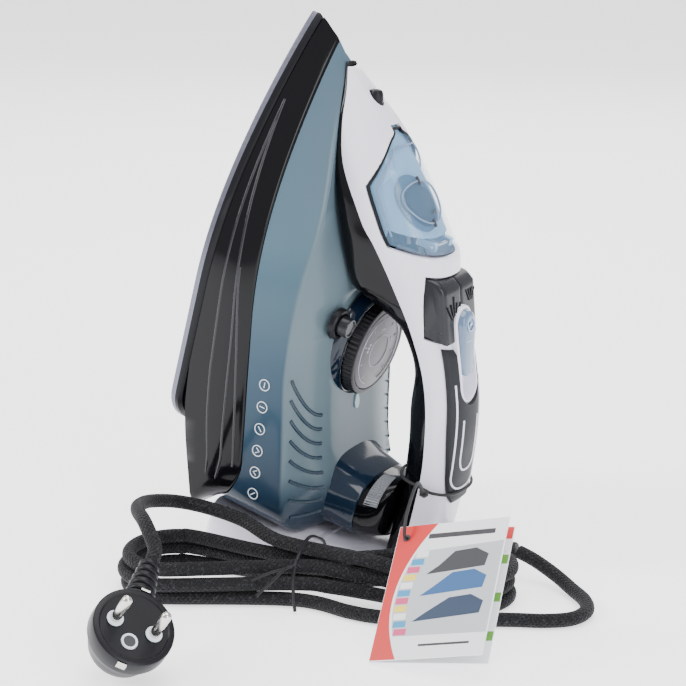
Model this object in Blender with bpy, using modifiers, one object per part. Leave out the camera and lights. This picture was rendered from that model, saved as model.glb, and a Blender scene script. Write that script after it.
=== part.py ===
"""Steam iron standing on its heel, with its cord tied in a hank, its plug and a hang tag.

Sizes are in millimetres and become metres when a mesh is made. The iron is described in its own frame:
t runs back from the soleplate's tip, h runs up from the soleplate's face, y is to the side. The whole
iron is parented to an empty that leans it back on its heel. The cord, plug and tag lie in world space.
"""

import math

import bmesh
import bpy
import numpy as np
from mathutils import Matrix, Vector

MM = 0.001
GAP = 0.3

# Overall pose and size
LEAN = math.radians(15.0)
STANDING_HEIGHT = 280.0
ORIGIN_X = -18.0

# Soleplate and skirt
SOLE_LENGTH = 222.0
SOLE_HALF_WIDTH = 57.5
SOLE_THICK = 6.0
NOSE_LENGTH = 135.0
SKIRT_REAR = 255.0
SKIRT_WALL = 2.2
VENT_R = 1.6

# Heating unit
CASTING_TOP = 20.0
CASTING_INSET = 8.5
ELEMENT_R = 3.2
ELEMENT_H = 13.6
COVER_THICK = 1.5

# Water tank
TANK_REAR = 256.0
TANK_HALF_WIDTH = 55.5
TANK_WALL = 2.4
COLUMN_WALL = 2.4
TURRET_TOP = 104.0
TURRET_FRONT = 216.0
TURRET_REAR = 252.0
TURRET_HALF_WIDTH = 26.0
TURRET_WALL = 2.2

# Handle and nose
SHELL_WALL = 2.2
TRIM_WALL = 2.2
ROUNDNESS = 0.77
HEEL_PLATE = 5.0
HEEL_FRONT = 256.3
PAD_THICK = 2.2
PAD_FRONT = 134.0
PAD_REAR = 214.0

# Dial
DIAL_T = 156.0
DIAL_R = 25.0
DIAL_TOP = 82.0
DIAL_WELL = 71.8
DIAL_WELL_CLEARANCE = 1.0
SHAFT_R = 2.8
SHAFT_HOLE_R = 5.0

# Lid and filler
LID_FRONT = 43.0
LID_REAR = 90.0
LID_THICK = 1.8
LID_GAP = 1.9
TRAY_DEPTH = 2.9
TRAY_THICK = 1.5
HINGE_T = 88.0
HINGE_H = 101.0
HINGE_PIN_R = 1.0
HINGE_BORE_R = 1.3
KNUCKLE_R = 2.1
KNUCKLE_HALF = 5.5
TRAY_REAR = 84.5
TRAY_REAR_H = 95.0
EAR_THICK = 3.0
INLET_T = 86.0
INLET_R = 7.0

# Buttons, pumps and slider
BLOCK_FRONT = 101.0
BLOCK_REAR = 131.0
BLOCK_HALF_WIDTH = 17.0
PUMP_T = 107.0
PUMP_Y = 10.0
PUMP_R = 5.5
PISTON_R = 3.2
PISTON_CLEARANCE = 0.4
TRACK_FRONT = 113.5
TRACK_REAR = 161.0
TRACK_HALF_WIDTH = 8.8
TRACK_WALL = 1.2
SLIDER_FRONT = 115.2
SLIDER_REAR = 148.0
SLIDER_CLEARANCE = 0.4
SLIDER_SLOPE = 0.28
VALVE_T = 105.0
VALVE_R = 2.2

# Self-clean button
CLEAN_T = 137.0
CLEAN_Y = -31.0
CLEAN_R = 5.2
CLEAN_COLLAR_R = 8.2

# Spray nozzle
NOZZLE_T = 26.0
NOZZLE_H = 45.6
NOZZLE_R = 3.5
NOZZLE_LENGTH = 12.0

# Cord exit
EXIT_T = 236.0
SOCKET_R = 7.4
NECK_R = 4.6
RELIEF_LENGTH = 36.0
CORD_R = 3.5

# Plug
PLUG_FACE = (10.0, -200.0, 27.6)
PLUG_AXIS = (0.62, -0.27, 0.74)
PLUG_CABLE = (-0.25, 0.80, 0.50)
PLUG_R = 19.5
PLUG_DEPTH = 24.0
PIN_R = 2.4
PIN_SPACING = 19.0
PIN_LENGTH = 19.0
PLUG_RELIEF_LENGTH = 20.0

# Hang tag
TAG_CORNER = (90.8, -129.3, 1.6)
TAG_ACROSS = (0.964, 0.086, 0.252)
TAG_UP = (-0.221, 0.786, 0.577)
TAG_WIDTH = 58.0
TAG_HEIGHT = 75.0
TAG_THICK = 0.6
TAG_FAN = math.radians(7.0)
TAG_HOLE = (5.0, 68.0)
TAG_HOLE_R = 2.0
ELASTIC_R = 0.8
ELASTIC_T = 207.0

COLOURS = {
    "sole_metal": ((0.60, 0.60, 0.66), 0.3, 1.0),
    "cast_metal": ((0.55, 0.55, 0.57), 0.5, 1.0),
    "steel": ((0.70, 0.70, 0.72), 0.3, 1.0),
    "nickel": ((0.78, 0.77, 0.75), 0.2, 1.0),
    "black_gloss": ((0.012, 0.012, 0.015), 0.12, 0.0),
    "black_satin": ((0.03, 0.03, 0.033), 0.4, 0.0),
    "white_gloss": ((0.84, 0.83, 0.90), 0.25, 0.0),
    "tank_blue": ((0.09, 0.20, 0.28), 0.15, 0.0),
    "lid_blue": ((0.30, 0.48, 0.66), 0.08, 0.0),
    "slider_blue": ((0.18, 0.30, 0.46), 0.12, 0.0),
    "grip_rubber": ((0.035, 0.037, 0.04), 0.7, 0.0),
    "dial_grey": ((0.12, 0.12, 0.13), 0.35, 0.0),
    "navy_gloss": ((0.01, 0.015, 0.05), 0.1, 0.0),
    "lens_grey": ((0.22, 0.23, 0.25), 0.3, 0.0),
    "ceramic": ((0.80, 0.78, 0.72), 0.6, 0.0),
    "cord_black": ((0.015, 0.016, 0.018), 0.8, 0.0),
    "card_red": ((0.85, 0.11, 0.10), 0.45, 0.0),
}


# ---------------------------------------------------------------- shape of the body

def interpolate(t, *points):
    """Straight-line interpolation through (position, value) pairs."""
    return float(np.interp(t, [p[0] for p in points], [p[1] for p in points]))


def skirt_top(t):
    """Line where the black skirt meets the tank, dropping away at the rear corner."""
    return interpolate(t, (9, 19.0), (100, 29.5), (224, 50.0), (234, 48.0), (255, 31.0))


def skirt_bottom(t):
    """Lower edge of the skirt, rising behind the soleplate."""
    return SOLE_THICK + 1.0 + interpolate(t, (190, 0.0), (255, 18.5))


def crease(t):
    """Height of the tank's edge between its side and its top."""
    return interpolate(t, (15, 25.5), (95, 55), (136, 58), (166, 61), (193, 67), (230, 75), (258, 80))


def tank_top(t):
    """Height of the tank's top on the middle line."""
    return interpolate(t, (15, 25.5), (95, 55), (118, 66), (135, 69), (160, 72), (187, 77), (210, 83), (222, 88))


def handle_top(t):
    """Upper outline of nose, buttons and handle."""
    return interpolate(
        t, (16, 28), (26, 42), (39, 60), (49, 71), (60, 82), (73, 93), (85, 103), (92, 109),
        (101, 112), (118, 117.5), (134, 127), (150, 134), (165, 139), (180, 142), (200, 144.5), (217, 146))


def border(t):
    """Height of the line between the black trim and the white shell."""
    return interpolate(
        t, (17, 28.5), (29, 34.5), (43, 40), (60, 48), (77, 61), (88, 70), (93, 76), (113, 92),
        (132, 106), (150, 117), (165, 123), (180, 127), (205, 131), (245, 132))


def border_half_width(t):
    return interpolate(t, (17, 4), (29, 10), (43, 17), (60, 22), (77, 24), (92, 24), (113, 20.5), (132, 18), (160, 17))


def trim_bottom(t):
    """Lower outline of the black trim: it rests on the tank, then becomes the handle's underside."""
    if t <= 124:
        return tank_top(t) + 2 * GAP
    return interpolate(
        t, (124, tank_top(124) + 2 * GAP), (128, 80), (132, 92), (140, 100), (148, 105.5), (155, 108),
        (170, 109.5), (190, 114), (205, 116.5), (215, 118.8))


def trim_half_width(t):
    return interpolate(
        t, (17, 3), (31, 10), (45, 19), (60, 25), (75, 28), (110, 29), (119, 27), (125, 19),
        (132, 12.5), (160, 12), (205, 13), (245, 17))


def floor_t(h):
    """Distance back from the tip at which the floor lies when the iron stands on its heel."""
    return (STANDING_HEIGHT - h * math.sin(LEAN)) / math.cos(LEAN)


def place(t, h, y=0.0):
    """Point in the iron's own frame."""
    return Vector((h, y, -t))


# ---------------------------------------------------------------- scene and object helpers

def clear_scene():
    for obj in list(bpy.data.objects):
        bpy.data.objects.remove(obj, do_unlink=True)


def material(name):
    found = bpy.data.materials.get(name)
    if found:
        return found
    colour, roughness, metallic = COLOURS[name]
    found = bpy.data.materials.new(name)
    found.use_nodes = True
    shader = found.node_tree.nodes["Principled BSDF"]
    shader.inputs["Base Color"].default_value = (*colour, 1.0)
    shader.inputs["Roughness"].default_value = roughness
    shader.inputs["Metallic"].default_value = metallic
    return found


def new_collection(name):
    collection = bpy.data.collections.new(name)
    bpy.context.scene.collection.children.link(collection)
    return collection


def new_lean_frame():
    """Empty that carries the iron's own frame into the world."""
    empty = bpy.data.objects.new("lean", None)
    bpy.context.scene.collection.objects.link(empty)
    empty.location = (ORIGIN_X * MM, 0.0, STANDING_HEIGHT * MM)
    empty.rotation_euler = (0.0, LEAN, 0.0)
    return empty


clear_scene()
PARTS = new_collection("steam_iron")
CUTTERS = new_collection("cutters")
LEAN_FRAME = new_lean_frame()


def add(name, mesh, finish=None, leaning=True):
    """Puts a mesh in the scene as a part, or as a cutter if it has no finish."""
    obj = bpy.data.objects.new(name, mesh)
    if finish:
        mesh.materials.append(material(finish))
        PARTS.objects.link(obj)
    else:
        CUTTERS.objects.link(obj)
        obj.hide_render = True
        obj.display_type = "WIRE"
    if leaning:
        obj.parent = LEAN_FRAME
    return obj


def mesh_from_bmesh(name, shape):
    bmesh.ops.recalc_face_normals(shape, faces=shape.faces)
    mesh = bpy.data.meshes.new(name)
    shape.to_mesh(mesh)
    shape.free()
    mesh.transform(Matrix.Scale(MM, 4))
    mesh.shade_smooth()
    mesh.set_sharp_from_angle(angle=math.radians(35))
    return mesh


def skin(name, rings, finish=None, wrap=False, leaning=True):
    """Loft through rings of points. Unless it wraps back to the first ring, its ends are closed by strips."""
    shape = bmesh.new()
    rows = [[shape.verts.new(point) for point in ring] for ring in rings]
    count = len(rows[0])
    pairs = list(zip(rows, rows[1:]))
    if wrap:
        pairs.append((rows[-1], rows[0]))
    for low, high in pairs:
        for i in range(count):
            j = (i + 1) % count
            shape.faces.new((low[i], low[j], high[j], high[i]))
    if not wrap:
        for row in (rows[0], rows[-1]):
            close_with_strip(shape, row)
    bmesh.ops.triangulate(shape, faces=[face for face in shape.faces if len(face.verts) > 3])
    return add(name, mesh_from_bmesh(name, shape), finish, leaning)


def close_with_strip(shape, row):
    """Closes a ring by joining its two sides across, so that the end can follow a curved rim."""
    left, right = 0, len(row) - 1
    while right - left > 2:
        shape.faces.new((row[left], row[left + 1], row[right - 1], row[right]))
        left += 1
        right -= 1
    if right - left == 2:
        shape.faces.new((row[left], row[left + 1], row[right]))


def turned(name, profile, centre, axis, finish=None, sides=24, leaning=True):
    """Turned shape. The profile's (radius, height) points run down its outer side from top to bottom."""
    closed = profile[0][0] > 0
    count = len(profile)
    edges = [(i, i + 1) for i in range(count - 1)]
    if closed:
        edges.append((count - 1, 0))
    mesh = bpy.data.meshes.new(name)
    mesh.from_pydata([(r * MM, 0.0, z * MM) for r, z in profile], edges, [])
    obj = add(name, mesh, finish, leaning)
    obj.location = Vector(centre) * MM
    obj.rotation_euler = Vector(axis).to_track_quat("Z", "Y").to_euler()
    screw = obj.modifiers.new("turn", "SCREW")
    screw.steps = sides
    screw.render_steps = sides
    screw.use_merge_vertices = True
    screw.merge_threshold = 1e-5
    screw.use_normal_calculate = False
    return obj


def rod(name, centre, axis, radius, length, finish=None, sides=16, leaning=True):
    """Cylinder from centre along axis."""
    profile = [(0.0, length), (radius, length), (radius, 0.0), (0.0, 0.0)]
    return turned(name, profile, centre, axis, finish, sides, leaning)


def ring_profile(inner, outer, low, high):
    return [(inner, high), (outer, high), (outer, low), (inner, low)]


def box(name, low, high, finish=None, leaning=True):
    shape = bmesh.new()
    bmesh.ops.create_cube(shape, size=1.0)
    size = Vector(high) - Vector(low)
    middle = (Vector(high) + Vector(low)) / 2
    bmesh.ops.scale(shape, vec=size, verts=shape.verts)
    bmesh.ops.translate(shape, vec=middle, verts=shape.verts)
    return add(name, mesh_from_bmesh(name, shape), finish, leaning)


def combine(obj, other, operation):
    modifier = obj.modifiers.new(operation.lower(), "BOOLEAN")
    modifier.operation = operation
    modifier.object = other


def cut(obj, *cutters):
    for cutter in cutters:
        combine(obj, cutter, "DIFFERENCE")


def join(obj, *others):
    for other in others:
        combine(obj, other, "UNION")


def tube(name, points, radius, finish, leaning=True, resolution=2):
    """Round tube along points, with its ends closed."""
    curve = bpy.data.curves.new(name, "CURVE")
    curve.dimensions = "3D"
    curve.bevel_depth = radius * MM
    curve.bevel_resolution = resolution
    curve.use_fill_caps = True
    spline = curve.splines.new("POLY")
    spline.points.add(len(points) - 1)
    for target, point in zip(spline.points, points):
        target.co = (*(Vector(point) * MM), 1.0)
    obj = bpy.data.objects.new(name, curve)
    PARTS.objects.link(obj)
    curve.materials.append(material(finish))
    if leaning:
        obj.parent = LEAN_FRAME
    return obj


def smooth_path(points, spacing):
    """Points at even spacing along a Catmull-Rom curve through the given ones."""
    knots = [Vector(p) for p in points]
    ends = [2 * knots[0] - knots[1]] + knots + [2 * knots[-1] - knots[-2]]
    dense = []
    for a, b, c, d in zip(ends, ends[1:], ends[2:], ends[3:]):
        for step in range(16):
            s = step / 16
            dense.append(
                0.5 * ((2 * b) + (c - a) * s + (2 * a - 5 * b + 4 * c - d) * s**2
                       + (3 * b - a - 3 * c + d) * s**3))
    dense.append(knots[-1])
    lengths = np.cumsum([0.0] + [(q - p).length for p, q in zip(dense, dense[1:])])
    count = max(2, round(lengths[-1] / spacing))
    marks = np.linspace(0.0, lengths[-1], count + 1)
    columns = [np.interp(marks, lengths, [p[axis] for p in dense]) for axis in range(3)]
    return [Vector(row) for row in zip(*columns)]


# ---------------------------------------------------------------- outlines

def plan_half_width(t, front, rear, width, nose=NOSE_LENGTH):
    """Half width of a pointed-arch outline with rounded rear corners."""
    along = min(max((t - front) / nose, 0.0), 1.0)
    half = width * math.sin(math.pi / 2 * along) ** 0.9
    corner = 24.0
    past = (t - (rear - corner)) / corner
    if past > 0:
        half -= 0.6 * width * (1 - math.sqrt(max(0.0, 1 - past * past)))
    return half


def plan_ring(front, rear, width, height, side_points=14):
    """Ring round a pointed-arch outline. Height is a function of t."""
    side = []
    for i in range(1, side_points + 1):
        t = front + (rear - front) * (1 - math.cos(math.pi * i / side_points)) / 2
        side.append((t, plan_half_width(t, front, rear, width)))
    ring = [place(front, height(front))]
    ring += [place(t, height(t), y) for t, y in side]
    ring += [place(t, height(t), -y) for t, y in reversed(side)]
    return ring


def oval_ring(front, rear, width, height, count=28):
    """Rounded oval ring. Height is a function of t."""
    middle = (front + rear) / 2
    reach = (rear - front) / 2
    ring = []
    for i in range(count):
        a = 2 * math.pi * i / count
        t = middle - reach * math.copysign(abs(math.cos(a)) ** 0.8, math.cos(a))
        y = width * math.copysign(abs(math.sin(a)) ** 0.8, math.sin(a))
        ring.append(place(t, height(t), y))
    return ring


def capsule_ring(front, rear, half_width, height, arc_points=8):
    """Straight-sided ring with round ends. Height is a function of t."""
    ring = []
    for middle, start in ((rear - half_width, -90.0), (front + half_width, 90.0)):
        for i in range(arc_points + 1):
            a = math.radians(start + 180.0 * i / arc_points)
            t = middle + half_width * math.cos(a)
            ring.append(place(t, height(t), half_width * math.sin(a)))
    return ring


def arch(width, low, high, first=0.0, last=180.0, steps=16, power=ROUNDNESS):
    """(y, h) points over a rounded arch, by angle from the +y side."""
    points = []
    for i in range(steps + 1):
        a = math.radians(first + (last - first) * i / steps)
        across = math.copysign(abs(math.cos(a)) ** power, math.cos(a))
        points.append((width * across, low + (high - low) * max(0.0, math.sin(a)) ** power))
    return points


def rear_leaned(t, h, end):
    """Slants the last stretch of the handle, so that it ends parallel to the heel's plate."""
    start = 215.0
    if t <= start:
        return t
    share = (t - start) / (end - start)
    return t + share * (floor_t(h) - HEEL_PLATE - GAP - end)


def constant(value):
    return lambda t: value


# ---------------------------------------------------------------- soleplate and heating unit

def make_soleplate():
    rings = [
        plan_ring(1.5, SOLE_LENGTH - 1.5, SOLE_HALF_WIDTH - 1.5, constant(0.0)),
        plan_ring(0.3, SOLE_LENGTH - 0.3, SOLE_HALF_WIDTH - 0.3, constant(1.2)),
        plan_ring(0.0, SOLE_LENGTH, SOLE_HALF_WIDTH, constant(SOLE_THICK - 1.0)),
        plan_ring(1.0, SOLE_LENGTH - 1.0, SOLE_HALF_WIDTH - 1.0, constant(SOLE_THICK)),
    ]
    sole = skin("soleplate", rings, "sole_metal")
    holes = []
    for t, y in vent_places():
        holes.append(rod(f"vent_{len(holes)}", place(t, -2.0, y), (1, 0, 0), VENT_R, SOLE_THICK + 4, sides=8))
    cut(sole, *holes)


def vent_places():
    """Steam vents in a V that follows the soleplate's edge."""
    places = []
    for i in range(7):
        t = 46.0 + 19.0 * i
        y = plan_half_width(t, 22.0, SOLE_LENGTH, SOLE_HALF_WIDTH - 12.0) * 0.72
        places += [(t, y), (t, -y)]
    return places


def make_heater():
    low = SOLE_THICK + GAP
    inset = CASTING_INSET
    rings = [
        plan_ring(2 * inset, SOLE_LENGTH - inset, SOLE_HALF_WIDTH - inset, constant(low)),
        plan_ring(2 * inset, SOLE_LENGTH - inset, SOLE_HALF_WIDTH - inset, constant(CASTING_TOP)),
    ]
    casting = skin("heater_casting", rings, "cast_metal")
    chamber = skin("chamber_cutter", [
        plan_ring(64.0, 190.0, 26.0, constant(CASTING_TOP - 8.0)),
        plan_ring(64.0, 190.0, 26.0, constant(CASTING_TOP + 2.0)),
    ])
    path = element_path()
    tube("heating_element", path, ELEMENT_R, "steel")
    groove = tube_mesh("element_groove", path, ELEMENT_R + GAP)
    cut(casting, chamber, groove)
    low = CASTING_TOP + GAP
    cover = skin("steam_chamber_cover", [
        plan_ring(54.0, 197.0, 31.0, constant(low)),
        plan_ring(54.0, 197.0, 31.0, constant(low + COVER_THICK)),
    ], "steel")
    drip = rod("drip_hole", place(VALVE_T, low - 2), (1, 0, 0), VALVE_R + 0.6, COVER_THICK + 4)
    cut(cover, drip)


def element_path():
    """U-shaped route of the heating element, from one rear terminal round the nose to the other."""
    half = []
    for i in range(13):
        t = SOLE_LENGTH - 8.0 - 12.3 * i
        half.append((t, plan_half_width(t, 38.0, 600.0, 39.0)))
    path = [place(t, ELEMENT_H, y) for t, y in half]
    path.append(place(61.0, ELEMENT_H, 7.0))
    path.append(place(61.0, ELEMENT_H, -7.0))
    path += [place(t, ELEMENT_H, -y) for t, y in reversed(half)]
    return path


def tube_mesh(name, path, radius):
    """Tube made a mesh, so that it can cut. Its ends run past the path."""
    first = path[0] + (path[0] - path[1]).normalized() * 3
    last = path[-1] + (path[-1] - path[-2]).normalized() * 3
    guide = tube(name + "_guide", [first] + list(path[1:-1]) + [last], radius, "steel")
    bpy.context.view_layer.update()
    graph = bpy.context.evaluated_depsgraph_get()
    mesh = bpy.data.meshes.new_from_object(guide.evaluated_get(graph))
    shape = bmesh.new()
    shape.from_mesh(mesh)
    bmesh.ops.remove_doubles(shape, verts=shape.verts, dist=1e-6)
    bmesh.ops.recalc_face_normals(shape, faces=shape.faces)
    shape.to_mesh(mesh)
    shape.free()
    bpy.data.objects.remove(guide, do_unlink=True)
    return add(name, mesh)


def make_skirt():
    wall = SKIRT_WALL
    outer = [
        plan_ring(2.0, SOLE_LENGTH - 4.0, SOLE_HALF_WIDTH - 1.5, constant(SOLE_THICK + 1.0)),
        plan_ring(1.2, SKIRT_REAR, SOLE_HALF_WIDTH - 0.3, skirt_bottom_outer),
        plan_ring(5.0, SKIRT_REAR, SOLE_HALF_WIDTH - 0.6, skirt_middle),
        plan_ring(9.0, SKIRT_REAR - 0.5, TANK_HALF_WIDTH, skirt_top),
    ]
    inner = [
        plan_ring(9.0 + 3 * wall, SKIRT_REAR - wall - 0.5, TANK_HALF_WIDTH - wall, skirt_top),
        plan_ring(5.0 + 3 * wall, SKIRT_REAR - wall, SOLE_HALF_WIDTH - 0.6 - wall, skirt_middle),
        plan_ring(2.0 + 3 * wall, SOLE_LENGTH - 4.0 - wall, SOLE_HALF_WIDTH - 1.5 - wall,
                  constant(SOLE_THICK + 1.0)),
    ]
    skin("sole_skirt", outer + inner, "black_gloss", wrap=True)


def skirt_bottom_outer(t):
    return skirt_bottom(t) + 0.6


def skirt_middle(t):
    return (skirt_bottom_outer(t) + skirt_top(t)) / 2


# ---------------------------------------------------------------- water tank

def make_tank():
    width = TANK_HALF_WIDTH
    wall = TANK_WALL

    def seat(t):
        return skirt_top(t) + GAP + interpolate(t, (205, 0.0), (220, 1.1))

    def seat_inside(t):
        return seat(t) + wall

    def crease_inside(t):
        return max(crease(t) - wall, seat_inside(t) + 0.4)

    def top_inside(t):
        top = tank_top(t)
        if abs(t - DIAL_T) < DIAL_R + DIAL_WELL_CLEARANCE + wall:
            top = min(top, DIAL_WELL)
        return max(top - wall, crease_inside(t) + 0.2)

    outside = [
        plan_ring(9.6, TANK_REAR, width - 0.2, seat),
        plan_ring(15.0, TANK_REAR, width - 1.6, crease),
        plan_ring(22.0, TANK_REAR - 7.0, 33.0, tank_top),
        plan_ring(30.0, TANK_REAR - 10.0, 16.0, tank_top),
    ]
    tank = skin("water_tank", outside, "tank_blue")
    envelope = skin("tank_envelope", outside)
    cavity = skin("tank_cavity", [
        plan_ring(9.6 + 4 * wall, TANK_REAR - wall, width - wall, seat_inside),
        plan_ring(15.0 + 4 * wall, TANK_REAR - wall, width - wall - 2.0, crease_inside),
        plan_ring(22.0 + 4 * wall, TANK_REAR - 8.0 - wall, 32.0, top_inside),
        plan_ring(30.0 + 4 * wall, TANK_REAR - 11.0 - wall, 15.0, top_inside),
    ])
    cut(tank, cavity)
    for name, t, y, hole in (
            ("shaft", DIAL_T, 0.0, SHAFT_HOLE_R),
            ("valve", VALVE_T, 0.0, VALVE_R + 1.0),
            ("clean", CLEAN_T, CLEAN_Y, 3.2)):
        column = rod(f"{name}_column", place(t, 20.0, y), (1, 0, 0), hole + COLUMN_WALL, 70.0)
        combine(column, envelope, "INTERSECT")
        bore = rod(f"{name}_bore", place(t, 20.0, y), (1, 0, 0), hole, 90.0)
        join(tank, column)
        cut(tank, bore)
    join(tank, turret_solid("turret", 0.0, tank_top(TURRET_REAR) - 4.0, TURRET_TOP))
    cut(tank, turret_solid("turret_hollow", TURRET_WALL, tank_top(TURRET_REAR) + 1.0, TURRET_TOP + 3.0))
    cut(tank, rod("dial_well", place(DIAL_T, DIAL_WELL), (1, 0, 0), DIAL_R + DIAL_WELL_CLEARANCE, 20.0, sides=32))
    cut(tank, rod("inlet_hole", place(INLET_T, 34.0), (1, 0, 0), INLET_R + 0.5, 40.0))


def turret_solid(name, inset, low, high):
    """Raised rear housing of the tank, under the rear cover."""
    return skin(name, [
        oval_ring(TURRET_FRONT - 3 + inset, TURRET_REAR - inset, TURRET_HALF_WIDTH + 4 - inset, constant(low)),
        oval_ring(TURRET_FRONT + inset, TURRET_REAR - inset, TURRET_HALF_WIDTH - inset, constant(high)),
    ])


# ---------------------------------------------------------------- handle, nose and heel

def section(t, width, low, high, end, steps=9):
    ring = []
    for y, h in arch(width, low, high, steps=steps):
        ring.append(place(rear_leaned(t, h, end), h, y))
    return ring


STATIONS = (19, 24, 29, 36, 43, 51, 60, 68, 77, 88, 93, 101, 113, 119, 124, 132, 141, 153, 165, 180, 198, 215, 230,
            246)


def make_handle_shell():
    end = STATIONS[-1]
    rings = []
    for t in STATIONS:
        width, low, high = border_half_width(t), border(t), handle_top(t)
        wall = min(SHELL_WALL, 0.6 * (high - low))
        outer = section(t, width, low, high, end)
        inner = section(t, width - wall, low, high - wall, end)
        rings.append(outer + inner[::-1])
    shell = skin("handle_shell", rings, "white_gloss")
    lid_hole = lid_solid("lid_hole", LID_GAP, -4.0, SHELL_WALL + 3.0)
    block_hole = box(
        "block_hole",
        place(BLOCK_REAR + 0.8, 90.0, -BLOCK_HALF_WIDTH - 0.5),
        place(BLOCK_FRONT - 0.5, 150.0, BLOCK_HALF_WIDTH + 0.5))
    nozzle_hole = rod("nozzle_hole", nozzle_base(), nozzle_axis(), NOZZLE_R + GAP, NOZZLE_LENGTH)
    cut(shell, lid_hole, block_hole, track_cutter("track_hole_shell"), nozzle_hole, socket_cutter())


def make_handle_trim():
    end = STATIONS[-1]
    rings = [trim_section(t, end) for t in (17, *STATIONS)]
    trim = skin("handle_inner_trim", rings, "black_gloss")
    holes = [
        rod("trim_inlet_hole", place(INLET_T, 40.0), (1, 0, 0), INLET_R + 0.5, 24.0),
        rod("trim_valve_hole", place(VALVE_T, 40.0), (1, 0, 0), VALVE_R + 0.8, 30.0),
    ]
    cut(trim, *holes)


def trim_section(t, end):
    """Closed U-shaped ring: down one side, across the bottom and up the other, then back inside."""
    top = border(t) - GAP
    bottom = trim_bottom(t)
    wall = min(TRIM_WALL, 0.55 * (top - bottom))
    upper, lower = border_half_width(t), trim_half_width(t)
    power = 0.25 if t < 124 else 0.6
    rings = []
    for inset in (0.0, wall):
        side = []
        for i in range(11):
            a = math.pi * i / 10
            share = math.sin(a)
            across = math.copysign(abs(math.cos(a)) ** power, math.cos(a))
            half = upper + (lower - upper) * share - inset
            h = top - (top - bottom - inset) * share ** 0.8
            side.append(place(rear_leaned(t, h, end), h, half * across))
        rings.append(side)
    return rings[0] + rings[1][::-1]


def make_rear_cover():
    low = TURRET_TOP + GAP
    high = cover_top()
    wall = 2.0
    outer = [
        oval_ring(TURRET_FRONT + 0.4, TURRET_REAR - 1, TURRET_HALF_WIDTH - 0.4, constant(low)),
        oval_ring(TURRET_FRONT - 1, TURRET_REAR - 2, TURRET_HALF_WIDTH - 2.0, constant((low + high) / 2)),
        oval_ring(TURRET_FRONT - 4, TURRET_REAR - 4, TURRET_HALF_WIDTH - 8.0, constant(high)),
    ]
    inner = [
        oval_ring(TURRET_FRONT - 4 + wall, TURRET_REAR - 4 - wall, TURRET_HALF_WIDTH - 8.0 - wall, constant(high)),
        oval_ring(TURRET_FRONT - 1 + wall, TURRET_REAR - 2 - wall, TURRET_HALF_WIDTH - 2.0 - wall,
                  constant((low + high) / 2)),
        oval_ring(TURRET_FRONT + 0.4 + wall, TURRET_REAR - 1 - wall, TURRET_HALF_WIDTH - 0.4 - wall, constant(low)),
    ]
    cover = skin("handle_rear_cover", outer + inner, "black_gloss", wrap=True)
    cut(cover, lens_solid("lens_pocket", GAP, None))
    lens_solid("indicator_lens", 0.0, "lens_grey")


def cover_top():
    return trim_bottom(TURRET_FRONT - 6.0) - GAP


def lens_solid(name, margin, finish):
    """Curved bar let into the rear cover's front edge on the near side."""
    low, high = TURRET_TOP + 3.0 - margin, cover_top() - 3.5 + margin
    middle, reach = (TURRET_FRONT + TURRET_REAR) / 2, (TURRET_REAR - TURRET_FRONT) / 2
    rings = []
    for i in range(9):
        angle = math.radians(15.0 - 3 * margin + (60.0 + 6 * margin) * i / 8)
        ring = []
        for h, out in ((low, 1.0 + 4 * margin), (high, 1.0 + 4 * margin), (high, -0.8 - margin), (low, -0.8 - margin)):
            share = (h - TURRET_TOP) / (cover_top() - TURRET_TOP)
            t = middle - (reach + out + 0.5 + 2.0 * share) * math.cos(angle) ** 0.8
            y = -(TURRET_HALF_WIDTH + out - 0.6 - 4.0 * share) * math.sin(angle) ** 0.8
            ring.append(place(t, h, y))
        rings.append(ring)
    return skin(name, rings, finish)


def make_heel():
    outline = ((29, 40), (33, 46), (45, 49.5), (60, 50), (84, 48), (100, 40), (118, 28), (136, 22), (144, 17))

    def ring(depth, inset):
        """depth 0 is the front face, 1 the floor."""
        side = []
        for h, y in outline:
            h_in = h + inset if h < 90 else h - inset
            front = floor_t(h_in) - HEEL_PLATE
            if h_in < TURRET_TOP:
                front = min(HEEL_FRONT, front)
            side.append((front + depth * (floor_t(h_in) - front), h_in, y - inset))
        points = [place(t, h, y) for t, h, y in side]
        return points + [place(t, h, -y) for t, h, y in reversed(side)]

    heel = skin("heel_stand", [ring(0.0, 0.0), ring(0.8, 0.0), ring(1.0, 1.2)], "white_gloss")
    pocket = skin("heel_pocket", [
        oval_ring_heel(HEEL_FRONT - 3.0),
        oval_ring_heel(HEEL_FRONT + 6.0),
    ])
    cut(heel, pocket)


def oval_ring_heel(t):
    """Oval at constant t for the hollow behind the tank."""
    ring = []
    for i in range(24):
        a = 2 * math.pi * i / 24
        ring.append(place(t, 54.0 + 18.0 * math.cos(a), 40.0 * math.sin(a)))
    return ring


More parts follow.
